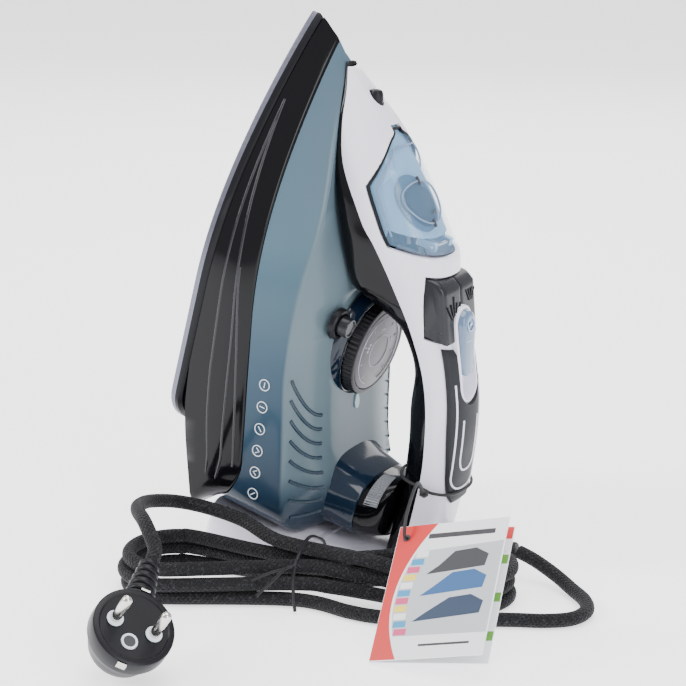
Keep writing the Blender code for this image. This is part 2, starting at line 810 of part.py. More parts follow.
def make_grip_pad():
    stations = np.linspace(PAD_FRONT, PAD_REAR, 9)
    rings = []
    for t in stations:
        share = (t - PAD_FRONT) / (PAD_REAR - PAD_FRONT)
        first = interpolate(share, (0.0, 42.0), (0.45, 38.0), (0.8, 48.0), (0.94, 60.0), (1.0, 74.0))
        width, low, high = border_half_width(t), border(t), handle_top(t)
        outer = arch(width + PAD_THICK, low, high + PAD_THICK, first, 180 - first, 8)
        inner = arch(width + GAP, low, high + GAP, first, 180 - first, 8)
        rings.append([place(t, h, y) for y, h in outer] + [place(t, h, y) for y, h in reversed(inner)])
    pad = skin("grip_pad", rings, "grip_rubber")
    cut(pad, track_cutter("track_hole_pad"))
    for name, front, rear, angle in (("grip_inlay_outer", 150.0, 206.0, 58.0), ("grip_inlay_inner", 168.0, 196.0, 74.0)):
        inlay = inlay_line(name, front, rear, angle, 0.2)
        groove = inlay_line(name + "_groove", front - 0.5, rear + 0.5, angle, -0.4)
        combine(pad, groove, "DIFFERENCE")
        inlay.data.materials.append(material("white_gloss"))
        CUTTERS.objects.unlink(inlay)
        PARTS.objects.link(inlay)
        inlay.hide_render = False
        inlay.display_type = "TEXTURED"


def inlay_line(name, front, rear, angle, shrink):
    """U-shaped white line let into the pad: two long legs joined by a round end at the rear."""
    half = 0.7 - shrink
    depth_low = PAD_THICK - 1.0 + shrink
    depth_high = PAD_THICK + 0.15 - (0.0 if shrink > 0 else -1.5)
    route = []
    legs = 9
    for i in range(legs):
        route.append((front + (rear - 8 - front) * i / (legs - 1), angle))
    for i in range(1, 8):
        a = math.pi / 2 * i / 8
        route.append((rear - 8 + 8 * math.sin(a), 90 - (90 - angle) * math.cos(a)))
    mirrored = [(t, 180 - a) for t, a in reversed(route)]
    route = route + [(rear, 90.0)] + mirrored
    rings = []
    for i, (t, a) in enumerate(route):
        before, after = route[max(i - 1, 0)], route[min(i + 1, len(route) - 1)]
        along = Vector((after[0] - before[0], (after[1] - before[1]) * 0.35)).normalized()
        ring = []
        for side, depth in ((-half, depth_low), (half, depth_low), (half, depth_high), (-half, depth_high)):
            ring.append(on_pad(t - along.y * side, a + along.x * side / 0.35, depth))
        rings.append(ring)
    return skin(name, rings)


def on_pad(t, angle, depth):
    """Point over the handle's arch, depth above the shell's surface."""
    a = math.radians(angle)
    width, low, high = border_half_width(t) + depth, border(t), handle_top(t) + depth
    y = width * math.copysign(abs(math.cos(a)) ** ROUNDNESS, math.cos(a))
    return place(t, low + (high - low) * math.sin(a) ** ROUNDNESS, y)


# ---------------------------------------------------------------- lid and filler

def lid_solid(name, expand, above, below, finish=None, steps=9):
    """Patch of the nose's surface in the lid's outline, from above to below that surface."""
    front, rear = LID_FRONT - 2 * expand, LID_REAR + expand
    rings = []
    for i in range(9):
        t = front + (rear - front) * (i / 8)
        first = interpolate(t, (LID_FRONT - 2 * expand, 84.0), (67.0, 17.0), (LID_REAR, 15.0)) - expand * 2.4
        width, low, high = border_half_width(t), border(t), handle_top(t)
        outer = arch(width - above, low, high - above, first, 180 - first, steps)
        inner = arch(width - below, low, high - below, first, 180 - first, steps)
        rings.append([place(t, h, y) for y, h in outer] + [place(t, h, y) for y, h in reversed(inner)])
    return skin(name, rings, finish)


def make_lid():
    lid = lid_solid("filler_lid", 0.0, 0.0, LID_THICK, "lid_blue")
    pin_place = place(HINGE_T, HINGE_H, -KNUCKLE_HALF)
    join(lid, rod("lid_knuckle", pin_place, (0, 1, 0), KNUCKLE_R, 2 * KNUCKLE_HALF))
    cut(lid, hinge_bore("lid_bore"))
    for side in (-1, 1):
        cut(lid, hinge_ear(f"lid_notch_{side + 1}", side, 2 * GAP))
    half = KNUCKLE_HALF + 4.0
    rod("lid_hinge_pin", place(HINGE_T, HINGE_H, -half), (0, 1, 0), HINGE_PIN_R, 2 * half, "steel", sides=10)
    gasket = lid_solid("inlet_gasket", LID_GAP - 1.5 * GAP, 0.5, LID_THICK + 0.4, "black_satin")
    cut(gasket, lid_solid("gasket_cutter", 2 * GAP, -3.0, 8.0))
    cut(gasket, box("gasket_opening", place(LID_REAR + 12, 80.0, -40.0), place(TRAY_REAR, 130.0, 40.0)))


def hinge_ear(name, side, margin):
    """Lug of the funnel that holds one end of the lid's pin, grown by a margin where it serves as a cutter."""
    inner = side * (KNUCKLE_HALF + 0.6 - margin)
    outer = side * (KNUCKLE_HALF + 0.6 + EAR_THICK + margin)
    low = place(HINGE_T + 2.0 + margin, TRAY_REAR_H - 3.4, min(inner, outer))
    high = place(HINGE_T - 2.0 - 6 * margin, HINGE_H + 1.7 + 2 * margin, max(inner, outer))
    return box(name, low, high)


def hinge_bore(name):
    half = KNUCKLE_HALF + 6.0
    return rod(name, place(HINGE_T, HINGE_H, -half), (0, 1, 0), HINGE_BORE_R, 2 * half, sides=10)


def make_funnel():
    funnel = lid_solid("inlet_funnel", LID_GAP + 1.5, TRAY_DEPTH, TRAY_DEPTH + TRAY_THICK, "lid_blue")
    swing_room = box("lid_swing_room", place(LID_REAR + 12, 80.0, -40.0), place(TRAY_REAR, 130.0, 40.0))
    cut(funnel, swing_room)
    for side in (-1, 1):
        inner = side * (KNUCKLE_HALF + 0.6)
        outer = inner + side * EAR_THICK
        arm = box(
            f"hinge_arm_{side + 1}",
            place(HINGE_T + 2.0, TRAY_REAR_H - 3.4, min(inner, outer)),
            place(TRAY_REAR - 3.0, TRAY_REAR_H, max(inner, outer)))
        join(funnel, arm, hinge_ear(f"hinge_ear_{side + 1}", side, 0.0))
    cut(funnel, hinge_bore("ear_bore"))
    route = ((70.5, 89.5, 11.5, 0.7), (75.0, 83.5, 10.0, 0.6), (81.0, 75.0, 8.5, 0.4), (INLET_T, 66.0, INLET_R, 0.0),
             (INLET_T, tank_top(INLET_T) - 5.0, INLET_R, 0.0))
    wall = 1.4
    spout = bent_tube("funnel_tube", route, 0.0)
    cut(spout, lid_solid("tray_top", LID_GAP + 3.0, -16.0, TRAY_DEPTH + 0.1))
    join(funnel, spout)
    cut(funnel, bent_tube("funnel_bore", route, wall, 3.0))


def bent_tube(name, route, wall, extend=0.0):
    """Tube through (t, h, radius, tilt) stations. Wall is taken off each radius."""
    stations = list(route)
    if extend:
        t, h, radius, tilt = stations[0]
        stations[0] = (t - extend * math.sin(tilt), h + extend * math.cos(tilt), radius, tilt)
        t, h, radius, tilt = stations[-1]
        stations[-1] = (t, h - extend, radius, tilt)
    rings = []
    for t, h, radius, tilt in stations:
        ring = []
        for i in range(16):
            a = 2 * math.pi * i / 16
            across = (radius - wall) * math.cos(a)
            ring.append(place(t + across * math.cos(tilt), h + across * math.sin(tilt), (radius - wall) * math.sin(a)))
        rings.append(ring)
    return skin(name, rings)


# ---------------------------------------------------------------- buttons, pumps and slider

def block_top(t):
    return interpolate(t, (BLOCK_FRONT, 116.0), (BLOCK_REAR, 126.5))


def make_buttons():
    notch = track_cutter("button_notch", 0.5, 90.0)
    for name, side in (("steam_button", -1), ("spray_button", 1)):
        rings = []
        for y, drop, inset in ((0.25, 0.0, 0.0), (BLOCK_HALF_WIDTH - 2.5, 0.3, 0.0),
                               (BLOCK_HALF_WIDTH - 0.6, 1.2, 0.3), (BLOCK_HALF_WIDTH, 3.2, 1.0)):
            rings.append([
                place(BLOCK_FRONT + inset, 97.5, side * y),
                place(BLOCK_FRONT + 1.6 + inset, block_top(BLOCK_FRONT) - 2.5 - drop, side * y),
                place(BLOCK_FRONT + 3.4 + inset, block_top(BLOCK_FRONT + 3) - drop, side * y),
                place(BLOCK_REAR - inset, block_top(BLOCK_REAR) - drop, side * y),
                place(BLOCK_REAR - inset, 112.0, side * y),
                place(BLOCK_REAR - 9.0, 107.5, side * y),
            ])
        button = skin(name, rings, "black_satin")
        cut(button, notch)
        piston_top = 104.0
        piston = rod(f"{name}_piston", place(PUMP_T, 84.0, side * PUMP_Y), (1, 0, 0), PISTON_R, piston_top - 84.0)
        join(button, piston)
        bore = PISTON_R + PISTON_CLEARANCE
        profile = [(bore, 93.0), (PUMP_R, 93.0), (PUMP_R, 74.0), (0.0, 74.0), (0.0, 79.0), (bore, 79.0)]
        pump = "steam_pump" if side < 0 else "spray_pump"
        turned(pump, profile_from_axis(profile), place(PUMP_T, 0.0, side * PUMP_Y), (1, 0, 0), "white_gloss", 16)


def profile_from_axis(profile):
    """Reorders a cup's profile so that it starts and ends on the axis."""
    start = next(i for i, point in enumerate(profile) if point[0] == 0.0 and profile[i - 1][0] == 0.0)
    return profile[start:] + profile[:start]


def track_floor(t):
    return interpolate(t, (TRACK_FRONT, 118.2), (TRACK_REAR, 118.2 + SLIDER_SLOPE * (TRACK_REAR - TRACK_FRONT)))


def track_cutter(name, clearance=GAP, low=None):
    """Footprint of the slider's track, to open what it passes through."""
    low = 100.0 if low is None else low
    reach = TRACK_HALF_WIDTH + clearance
    return skin(name, [
        capsule_ring(TRACK_FRONT - clearance, TRACK_REAR + clearance, reach, constant(low)),
        capsule_ring(TRACK_FRONT - clearance, TRACK_REAR + clearance, reach, constant(160.0)),
    ])


def make_slider():
    inner = TRACK_HALF_WIDTH - TRACK_WALL

    def underside(t):
        return track_floor(t) - 1.6

    def rim(t):
        return track_floor(t) + interpolate(t, (130, 4.0), (136, 7.5), (TRACK_REAR, 7.0))

    track = skin("slider_track", [
        capsule_ring(TRACK_FRONT, TRACK_REAR, TRACK_HALF_WIDTH, underside),
        capsule_ring(TRACK_FRONT, TRACK_REAR, TRACK_HALF_WIDTH, rim),
        capsule_ring(TRACK_FRONT + TRACK_WALL, TRACK_REAR - TRACK_WALL, inner, rim),
        capsule_ring(TRACK_FRONT + TRACK_WALL, TRACK_REAR - TRACK_WALL, inner, track_floor),
    ], "white_gloss")
    slot = skin("stem_slot", [
        capsule_ring(123.0, 141.0, 2.6, constant(105.0)),
        capsule_ring(123.0, 141.0, 2.6, constant(140.0)),
    ])
    cut(track, slot)
    half = inner - SLIDER_CLEARANCE

    def low(t):
        return track_floor(t) + GAP

    def shoulder(t):
        return track_floor(t) + interpolate(t, (SLIDER_FRONT, 6.2), (128, 6.4), (133, 5.0), (SLIDER_REAR, 6.0))

    def crown(t):
        return shoulder(t) + 1.2

    slider = skin("steam_slider", [
        capsule_ring(SLIDER_FRONT, SLIDER_REAR, half, low),
        capsule_ring(SLIDER_FRONT, SLIDER_REAR, half, shoulder),
        capsule_ring(SLIDER_FRONT + 1.4, SLIDER_REAR - 1.4, half - 1.4, crown),
    ], "slider_blue")
    stem = rod("slider_stem", place(127.0, 114.5), (1, 0, 0), 1.8, 8.5)
    join(slider, stem)
    rod("steam_valve_rod", place(VALVE_T, 24.0), (1, 0, 0), VALVE_R, 66.0, "steel", sides=12)


# ---------------------------------------------------------------- dial and self-clean button

def make_dial():
    base = DIAL_WELL + GAP
    ring = ring_profile(SHAFT_R + 1.2, DIAL_R - 3.5, base, base + 2.0)
    turned("dial_base_ring", ring, place(DIAL_T, 0.0), (1, 0, 0), "navy_gloss", 28)
    low = base + 2.0 + GAP
    rim = DIAL_TOP - 5.6
    profile = [(0.0, DIAL_TOP - 1.0), (DIAL_R - 3.0, DIAL_TOP - 1.0), (DIAL_R - 3.0, DIAL_TOP), (DIAL_R - 1.2, DIAL_TOP),
               (DIAL_R, DIAL_TOP - 1.2), (DIAL_R, rim), (DIAL_R - 1.4, rim - 0.4), (DIAL_R - 4.0, low), (0.0, low)]
    turned("thermostat_dial", profile, place(DIAL_T, 0.0), (1, 0, 0), "black_satin", 32)
    face = [(0.0, DIAL_TOP + 0.3), (DIAL_R - 3.4, DIAL_TOP + 0.3), (DIAL_R - 3.4, DIAL_TOP - 0.7), (0.0, DIAL_TOP - 0.7)]
    turned("dial_face", face, place(DIAL_T, 0.0), (1, 0, 0), "dial_grey", 32)
    bottom = CASTING_TOP + COVER_THICK + 2 * GAP
    rod("thermostat", place(DIAL_T, bottom), (1, 0, 0), 13.0, 9.0, "ceramic", sides=24)
    shaft_low = bottom + 9.0 + GAP
    rod("thermostat_shaft", place(DIAL_T, shaft_low), (1, 0, 0), SHAFT_R, low - GAP - shaft_low, "steel", sides=12)
    rod("thermal_fuse", place(176.0, bottom, 14.0), (0, 1, 0), 2.5, 14.0, "ceramic", sides=12).location += (
        place(0, 3.0) * MM)


def make_self_clean():
    seat = tank_top(CLEAN_T + CLEAN_COLLAR_R) + GAP
    collar = ring_profile(CLEAN_R + 0.5, CLEAN_COLLAR_R, seat, seat + 3.2)
    turned("self_clean_collar", collar, place(CLEAN_T, 0.0, CLEAN_Y), (1, 0, 0), "black_satin", 28)
    head = seat + 8.5
    low = seat + 3.4
    profile = [(0.0, head), (CLEAN_R - 0.8, head), (CLEAN_R, head - 0.8), (CLEAN_R, low), (2.0, low), (2.0, 30.0),
               (0.0, 30.0)]
    turned("self_clean_button", profile, place(CLEAN_T, 0.0, CLEAN_Y), (1, 0, 0), "black_satin", 24)


# ---------------------------------------------------------------- spray nozzle

def nozzle_axis():
    """Points forward and a little down."""
    return place(-1.0, -0.28).normalized()


def nozzle_base():
    return place(NOZZLE_T, NOZZLE_H) - nozzle_axis() * NOZZLE_LENGTH


def make_nozzle():
    r = NOZZLE_R
    length = NOZZLE_LENGTH
    profile = [(0.0, length), (0.55 * r, length - 0.2), (0.9 * r, length - 1.0), (r, length - 2.4), (r, 0.6), (0.0, 0.6)]
    turned("spray_nozzle", profile, nozzle_base(), nozzle_axis(), "black_satin", 20)
    route = [place(101, 77, 14.5), place(92, 73, 15), place(78, 64, 15), place(64, 56, 12), place(50, 52, 5),
             place(41, 49.5, 1.0)]
    tube("spray_tube", smooth_path(route, 5.0), 1.3, "white_gloss")


# ---------------------------------------------------------------- cord exit and rear electrics

def exit_place():
    """Centre of the cord's exit on the handle's top, in the iron's frame."""
    return place(EXIT_T, handle_top(EXIT_T))


def exit_axis():
    """The cord leaves level, towards +X of the world."""
    return Matrix.Rotation(-LEAN, 3, "Y") @ Vector((1, 0, 0))


def socket_cutter():
    return rod("socket_hole", exit_place() - exit_axis() * 8, exit_axis(), SOCKET_R + GAP, 20.0, sides=24)


def make_cord_exit():
    low, high = -4.0, 1.6
    turned("swivel_socket", ring_profile(NECK_R + 0.5, SOCKET_R, low, high), exit_place(), exit_axis(), "white_gloss", 24)
    profile = [(0.0, 4.0), (NECK_R, 4.0), (NECK_R, low - 0.5), (SOCKET_R - 0.6, low - 0.5), (SOCKET_R - 1.6, low - 4.0),
               (0.0, low - 4.0)]
    turned("cord_swivel", profile, exit_place(), exit_axis(), "black_satin", 24)
    start = 4.0 + GAP
    outline = [(0.0, start + RELIEF_LENGTH)]
    rings = 5
    pitch = RELIEF_LENGTH / rings
    for i in range(rings):
        top = start + RELIEF_LENGTH - i * pitch
        radius = 4.3 + 2.0 * i / (rings - 1)
        outline += [(radius, top), (radius, top - 0.6 * pitch), (radius - 0.7, top - 0.65 * pitch),
                    (radius - 0.7, top - 0.95 * pitch)]
    outline += [(6.4, start), (0.0, start)]
    turned("cord_strain_relief", outline, exit_place(), exit_axis(), "black_satin", 14)


def make_electrics():
    box("terminal_block", place(246.0, 92.5, -9.0), place(232.0, 101.5, 9.0), "ceramic")
    rod("indicator_lamp", place(223.5, 100.0, -4.0), (0, 1, 0), 2.2, 8.0, "ceramic", sides=12)


def make_heel_screws():
    """Two screws whose heads sit in the floor face of the heel and whose shanks reach towards the tank."""
    for name, h in (("heel_screw_lower", 100.0), ("heel_screw_upper", 118.0)):
        head = place(floor_t(h) - 0.4, h)
        profile = [(0.0, 0.0), (3.0, 0.0), (3.0, -1.6), (1.4, -1.6), (1.4, -4.2), (0.0, -4.2)]
        turned(name, profile, head, floor_normal(), "steel", 14)
        pocket = [(0.0, 2.0), (3.3, 2.0), (3.3, -1.9), (1.7, -1.9), (1.7, -9.0), (0.0, -9.0)]
        cut(bpy.data.objects["heel_stand"], turned(name + "_pocket", pocket, head, floor_normal(), None, 14))


def floor_normal():
    """World down, in the iron's frame."""
    return Matrix.Rotation(-LEAN, 3, "Y") @ Vector((0, 0, -1))


# ---------------------------------------------------------------- cord, plug and tag, in world space

CORD_LEAD = (
    (103.8, 0, 14.0), (113, -0.5, 11.5), (126, -3, 7.0), (138, -9, 4.0), (149, -18, 3.6), (155, -29, 3.6),
    (153, -41, 3.6), (143, -50, 3.6), (129, -57, 3.6), (113, -66, 3.6), (97, -76, 3.6), (81, -84, 3.6),
    (67, -88, 3.6), (55.8, -89, 3.6))
PLUG_LEAD = (
    (-24, -144, 52), (-40, -128, 50), (-52, -110, 45), (-58, -92, 40), (-54, -75, 35), (-40, -66, 31),
    (-20, -66, 28.5), (0, -73, 26.2))
HANK_OUTLINE = (
    (83.7, -15.8), (94, -13), (104.5, -15), (113.2, -21.3), (118.2, -30.7), (118.6, -41.4),
    (114.3, -51.2), (106.3, -58.2), (62, -80), (55, -84), (55, -93), (41, -94.5), (13, -96),
    (-30.4, -124.3), (-42.4, -125.9), (-54, -122.2), (-62.9, -114.1), (-67.6, -102.9), (-67, -90.8),
    (-61.4, -80), (-51.8, -72.6), (-40, -70), (22, -56.3), (32, -54))
HANK_HEIGHT = 22.0


def make_cord():
    spacing = 2.5 * 2 * CORD_R
    tube("cord_lead", smooth_path(CORD_LEAD, spacing), CORD_R, "cord_black", leaning=False)
    hank = [[Vector((x, y, z)) for x, y in HANK_OUTLINE] for z in (0.1, HANK_HEIGHT)]
    prism("cord_hank", hank, "cord_black")
    tie = ((30.5, -97.2, 1.2), (30, -97.4, 10), (29.5, -97.6, 20), (29, -95.8, 24.2), (25, -75, 24.6), (22, -56, 24.4),
           (21, -53.6, 20), (20.5, -53.4, 10), (20.5, -53.6, 1.2))
    tube("wire_tie", smooth_path(tie, 8.0), 0.9, "black_satin", leaning=False)


def prism(name, rings, finish=None):
    """Straight solid between two flat outlines."""
    shape = bmesh.new()
    rows = [[shape.verts.new(point) for point in ring] for ring in rings]
    count = len(rows[0])
    for i in range(count):
        j = (i + 1) % count
        shape.faces.new((rows[0][i], rows[0][j], rows[1][j], rows[1][i]))
    for row in rows:
        shape.faces.new(row)
    return add(name, mesh_from_bmesh(name, shape), finish, leaning=False)


def make_plug():
    face = Vector(PLUG_FACE)
    axis = Vector(PLUG_AXIS).normalized()
    side = axis.cross(Vector(PLUG_CABLE)).normalized()
    cable = side.cross(axis).normalized()
    r, depth = PLUG_R, PLUG_DEPTH
    profile = [(0.0, 0.0), (r - 1.0, 0.0), (r, -1.0), (r, -9.0), (r - 2.0, -13.0), (r - 3.5, -depth + 4),
               (r - 7.0, -depth), (0.0, -depth)]
    body = turned("plug_body", profile, face, axis, "black_satin", 32, leaning=False)
    neck_foot = face - axis * 13.0
    join(body, rod("plug_neck", neck_foot, cable, 9.0, r + 3.0, None, 20, leaning=False))
    for name, sign in (("plug_pin_left", -1), ("plug_pin_right", 1)):
        foot = face + side * (sign * PIN_SPACING / 2) + axis * GAP
        tip = PIN_LENGTH
        pin = [(0.0, tip), (PIN_R - 1.2, tip), (PIN_R, tip - 1.2), (PIN_R, 0.0), (0.0, 0.0)]
        turned(name, pin, foot, axis, "nickel", 16, leaning=False)
    for name, sign in (("plug_earth_clip_top", 1), ("plug_earth_clip_bottom", -1)):
        clip = box(name, (-2.2, -0.5, -3.6), (2.2, 0.5, -0.4), "nickel", leaning=False)
        turn = Matrix((side * -sign, cable * sign, axis)).transposed()
        clip.rotation_euler = turn.to_euler()
        clip.location = (face + cable * (sign * (r + 0.9))) * MM
    start = neck_foot + cable * (r + 3.0 + GAP)
    outline = [(0.0, PLUG_RELIEF_LENGTH)]
    pitch = PLUG_RELIEF_LENGTH / 3
    for i in range(3):
        top = PLUG_RELIEF_LENGTH - i * pitch
        radius = 5.0 + i
        outline += [(radius, top), (radius, top - 0.6 * pitch), (radius - 0.8, top - 0.65 * pitch),
                    (radius - 0.8, top - 0.95 * pitch)]
    outline += [(8.2, 0.0), (0.0, 0.0)]
    turned("plug_strain_relief", outline, start, cable, "black_satin", 14, leaning=False)
    entry = start + cable * (PLUG_RELIEF_LENGTH + GAP)
    route = [entry, entry + cable * 9.0]
    route += [Vector(point) for point in PLUG_LEAD]
    tube("cord_plug_lead", smooth_path(route, 7.0), CORD_R, "cord_black", leaning=False)


def tag_point(across, up, out=0.0, fan=0.0):
    """Point on a tag leaf. The fan angle turns a leaf back about its left edge."""
    a, u = Vector(TAG_ACROSS).normalized(), Vector(TAG_UP).normalized()
    normal = a.cross(u).normalized()
    a = a * math.cos(fan) - normal * math.sin(fan)
    outward = a.cross(u).normalized()
    return Vector(TAG_CORNER) + a * across + u * up + outward * out


def make_tag():
    hole_low = tag_point(*TAG_HOLE, -8.0)
    axis = tag_point(*TAG_HOLE, 8.0) - hole_low
    for name, out, fan in (("hang_tag_front", 0.0, 0.0), ("hang_tag_back", -TAG_THICK - GAP, TAG_FAN)):
        rings = []
        for depth in (out - TAG_THICK, out):
            rings.append([tag_point(x, y, depth, fan) for x, y in (
                (0, 0), (TAG_WIDTH, 0), (TAG_WIDTH, TAG_HEIGHT), (0, TAG_HEIGHT))])
        leaf = prism(name, rings, "card_red")
        cut(leaf, rod(name + "_hole", hole_low, axis, TAG_HOLE_R, 16.0, None, 16, leaning=False))


def to_world(point):
    return Matrix.Rotation(LEAN, 3, "Y") @ point + Vector((ORIGIN_X, 0.0, STANDING_HEIGHT))


def make_elastic():
    """Thin cord tied round the handle, whose ends run down to the tag's hole."""
    clear = ELASTIC_R + GAP
    t = ELASTIC_T
    loop = []
    for i in range(15):
        a = math.radians(20.0 + 140.0 * i / 14)
        width, low, high = border_half_width(t) + PAD_THICK + clear, border(t), handle_top(t) + PAD_THICK + clear
        y = width * math.copysign(abs(math.cos(a)) ** ROUNDNESS, math.cos(a))
        loop.append(place(t, low + (high - low) * math.sin(a) ** ROUNDNESS, y))
    half, low = border_half_width(t) + clear, trim_bottom(t) - clear
    loop += [place(t, border(t), -half - 0.6), place(t, 121.5, -half + 1), place(t, low + 0.4, -8), place(t, low, 0),
             place(t, low + 0.4, 8), place(t, 121.5, half - 1), place(t, border(t) - 2, half + 0.6)]
    tube("elastic_loop", [to_world(p) for p in smooth_path(loop, 8.0)], ELASTIC_R, "black_satin", leaning=False)
    knot = to_world(place(t, border(t) + 6, -half - 4.5))
    near = tag_point(*TAG_HOLE, 3.0)
    through = tag_point(*TAG_HOLE, -3.6)
    route = [knot, knot + Vector((6, -18, 12)), near + Vector((-3, 8, 8)), near, tag_point(*TAG_HOLE), through]
    tube("tag_elastic", smooth_path(route, 5.0), ELASTIC_R, "black_satin", leaning=False)


def build():
    make_soleplate()
    make_heater()
    make_skirt()
    make_tank()
    make_handle_shell()
    make_handle_trim()
    make_rear_cover()
    make_heel()
    make_grip_pad()
    make_lid()
    make_funnel()
    make_buttons()
    make_slider()
    make_dial()
    make_self_clean()
    make_nozzle()
    make_cord_exit()
    make_electrics()
    make_heel_screws()
    make_cord()
    make_plug()
    make_tag()
    make_elastic()


build()
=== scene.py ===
import math

import bmesh
import bpy
import numpy as np
from mathutils import Matrix, Vector

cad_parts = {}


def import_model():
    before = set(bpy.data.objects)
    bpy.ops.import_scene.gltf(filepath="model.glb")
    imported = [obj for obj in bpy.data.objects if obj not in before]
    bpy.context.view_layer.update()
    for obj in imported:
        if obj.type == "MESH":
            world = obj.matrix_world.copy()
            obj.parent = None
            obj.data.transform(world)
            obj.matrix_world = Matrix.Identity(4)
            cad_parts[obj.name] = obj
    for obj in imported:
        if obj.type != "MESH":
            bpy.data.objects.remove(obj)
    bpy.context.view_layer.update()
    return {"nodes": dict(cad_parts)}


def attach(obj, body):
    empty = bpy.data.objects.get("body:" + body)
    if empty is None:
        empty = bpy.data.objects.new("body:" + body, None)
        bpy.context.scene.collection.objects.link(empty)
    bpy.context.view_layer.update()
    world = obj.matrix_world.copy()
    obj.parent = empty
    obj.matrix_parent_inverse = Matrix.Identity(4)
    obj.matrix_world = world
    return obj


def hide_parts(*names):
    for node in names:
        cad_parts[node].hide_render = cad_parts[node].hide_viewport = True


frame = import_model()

# Lengths below are in millimetres. Points of the iron are (t, h, y): t back from the sole's tip along the
# sole, h up from the sole's face, y across. The iron stands on its heel and leans back by LEAN.
MM = 0.001
LEAN = math.radians(15.0)
STANDING_HEIGHT = 280.0
ORIGIN_X = -18.0

SOLE_LENGTH = 222.0
SOLE_HALF_WIDTH = 57.5
SOLE_THICK = 6.0
NOSE_LENGTH = 135.0
SKIRT_REAR = 255.0
TANK_REAR = 256.0
TANK_HALF_WIDTH = 55.5
TURRET_TOP = 104.0
TURRET_FRONT = 216.0
TURRET_REAR = 252.0
TURRET_HALF_WIDTH = 26.0
HEEL_PLATE = 5.0
HEEL_FRONT = 256.3
PAD_THICK = 2.2
PAD_FRONT = 134.0
PAD_REAR = 214.0
DIAL_T = 156.0
DIAL_R = 25.0
DIAL_TOP = 82.0
DIAL_LOW = 74.4
LID_FRONT = 43.0
LID_REAR = 90.0
LID_GAP = 1.9
BLOCK_FRONT = 101.0
BLOCK_REAR = 131.0
BLOCK_HALF_WIDTH = 17.0
TRACK_FRONT = 113.5
TRACK_REAR = 161.0
TRACK_HALF_WIDTH = 8.8
SLIDER_FRONT = 115.2
SLIDER_REAR = 148.0
CLEAN_T = 137.0
CLEAN_Y = -31.0
EXIT_T = 236.0
CORD_R = 3.5
PLUG_FACE = Vector((10.0, -200.0, 27.6))
PLUG_AXIS = Vector((0.62, -0.27, 0.74)).normalized()
PLUG_CABLE = Vector((-0.25, 0.80, 0.50))
PLUG_R = 19.5
PIN_SPACING = 19.0
TAG_CORNER = Vector((90.8, -129.3, 1.6))
TAG_ACROSS = Vector((0.964, 0.086, 0.252)).normalized()
TAG_UP = Vector((-0.221, 0.786, 0.577)).normalized()
TAG_WIDTH = 58.0
TAG_HEIGHT = 75.0
TAG_THICK = 0.6
TAG_FAN = math.radians(7.0)
ELASTIC_R = 0.8
ELASTIC_T = 207.0
ELASTIC_STEP = 0.0015


# ---------------------------------------------------------------- curves of the body

def along(*points):
    """Smooth curve through (position, value) pairs that never overshoots them."""
    x = [float(p[0]) for p in points]
    y = [float(p[1]) for p in points]
    count = len(x)
    step = [x[i + 1] - x[i] for i in range(count - 1)]
    rise = [(y[i + 1] - y[i]) / step[i] for i in range(count - 1)]
    slope = [rise[0]] + [0.0] * (count - 2) + [rise[-1]]
    for i in range(1, count - 1):
        if rise[i - 1] * rise[i] > 0:
            a = 2 * step[i] + step[i - 1]
            b = step[i] + 2 * step[i - 1]
            slope[i] = (a + b) / (a / rise[i - 1] + b / rise[i])

    def value(t):
        t = min(max(t, x[0]), x[-1])
        i = max(k for k in range(count - 1) if x[k] <= t)
        s = (t - x[i]) / step[i]
        ease = s * s * (3 - 2 * s)
        bend = step[i] * s * (1 - s) * (slope[i] * (1 - s) - slope[i + 1] * s)
        return y[i] + (y[i + 1] - y[i]) * ease + bend

    return value


skirt_top = along((9, 19.0), (100, 29.5), (170, 40.5), (212, 47.7), (224, 49.5), (236, 46.5), (255, 31.0))
skirt_rise = along((180, 0.0), (200, 2.2), (255, 18.5))
crease = along((15, 25.5), (95, 55), (136, 58), (166, 61), (193, 67), (230, 75), (258, 80))
tank_top = along((15, 25.5), (95, 55), (118, 66), (135, 69), (160, 72), (187, 77), (210, 83), (222, 88))
handle_top = along(
    (16, 28), (26, 42), (39, 60), (49, 71), (60, 82), (73, 93), (85, 103), (92, 109),
    (101, 112), (118, 117.5), (134, 127), (150, 134), (165, 139), (180, 142), (200, 144.5), (217, 146))
border = along(
    (17, 28.5), (29, 34.5), (43, 40), (60, 48), (77, 61), (88, 70), (93, 76), (113, 92),
    (132, 106), (150, 117), (165, 123), (180, 127), (205, 131), (245, 132))
border_half_width = along(
    (17, 4), (29, 10), (43, 17), (60, 22), (77, 24), (92, 24), (113, 20.5), (132, 18), (160, 17))
trim_bottom = along(
    (17, 26.5), (60, 42.8), (95, 55.6), (118, 66.6), (124, 70.0), (128, 79), (132, 91), (140, 100),
    (148, 105.5), (155, 108), (170, 109.5), (190, 114), (205, 116.5), (215, 118.8))
trim_half_width = along(
    (17, 3), (31, 10), (45, 19), (60, 25), (75, 28), (110, 29), (119, 27), (125, 19),
    (132, 12.5), (160, 12), (205, 13), (245, 17))
ROUNDNESS = 0.77


def world(t, h, y=0.0):
    """World point, in metres, of a point of the iron."""
    x = ORIGIN_X + h * math.cos(LEAN) - t * math.sin(LEAN)
    z = STANDING_HEIGHT - h * math.sin(LEAN) - t * math.cos(LEAN)
    return Vector((x, y, z)) * MM


def direction(t, h, y=0.0):
    return (world(t, h, y) - world(0, 0, 0)).normalized()


UP = direction(0, 1)
ACROSS = Vector((0, 1, 0))


def floor_t(h):
    return (STANDING_HEIGHT - h * math.sin(LEAN)) / math.cos(LEAN)


# ---------------------------------------------------------------- materials

# Depths in metres: of a plastic's surface grain, of a metal's scratches and of the braid's strands.
GRAIN_DEPTH = 0.0002
SCRATCH_DEPTH = 0.0001
BRAID_DEPTH = 0.0005
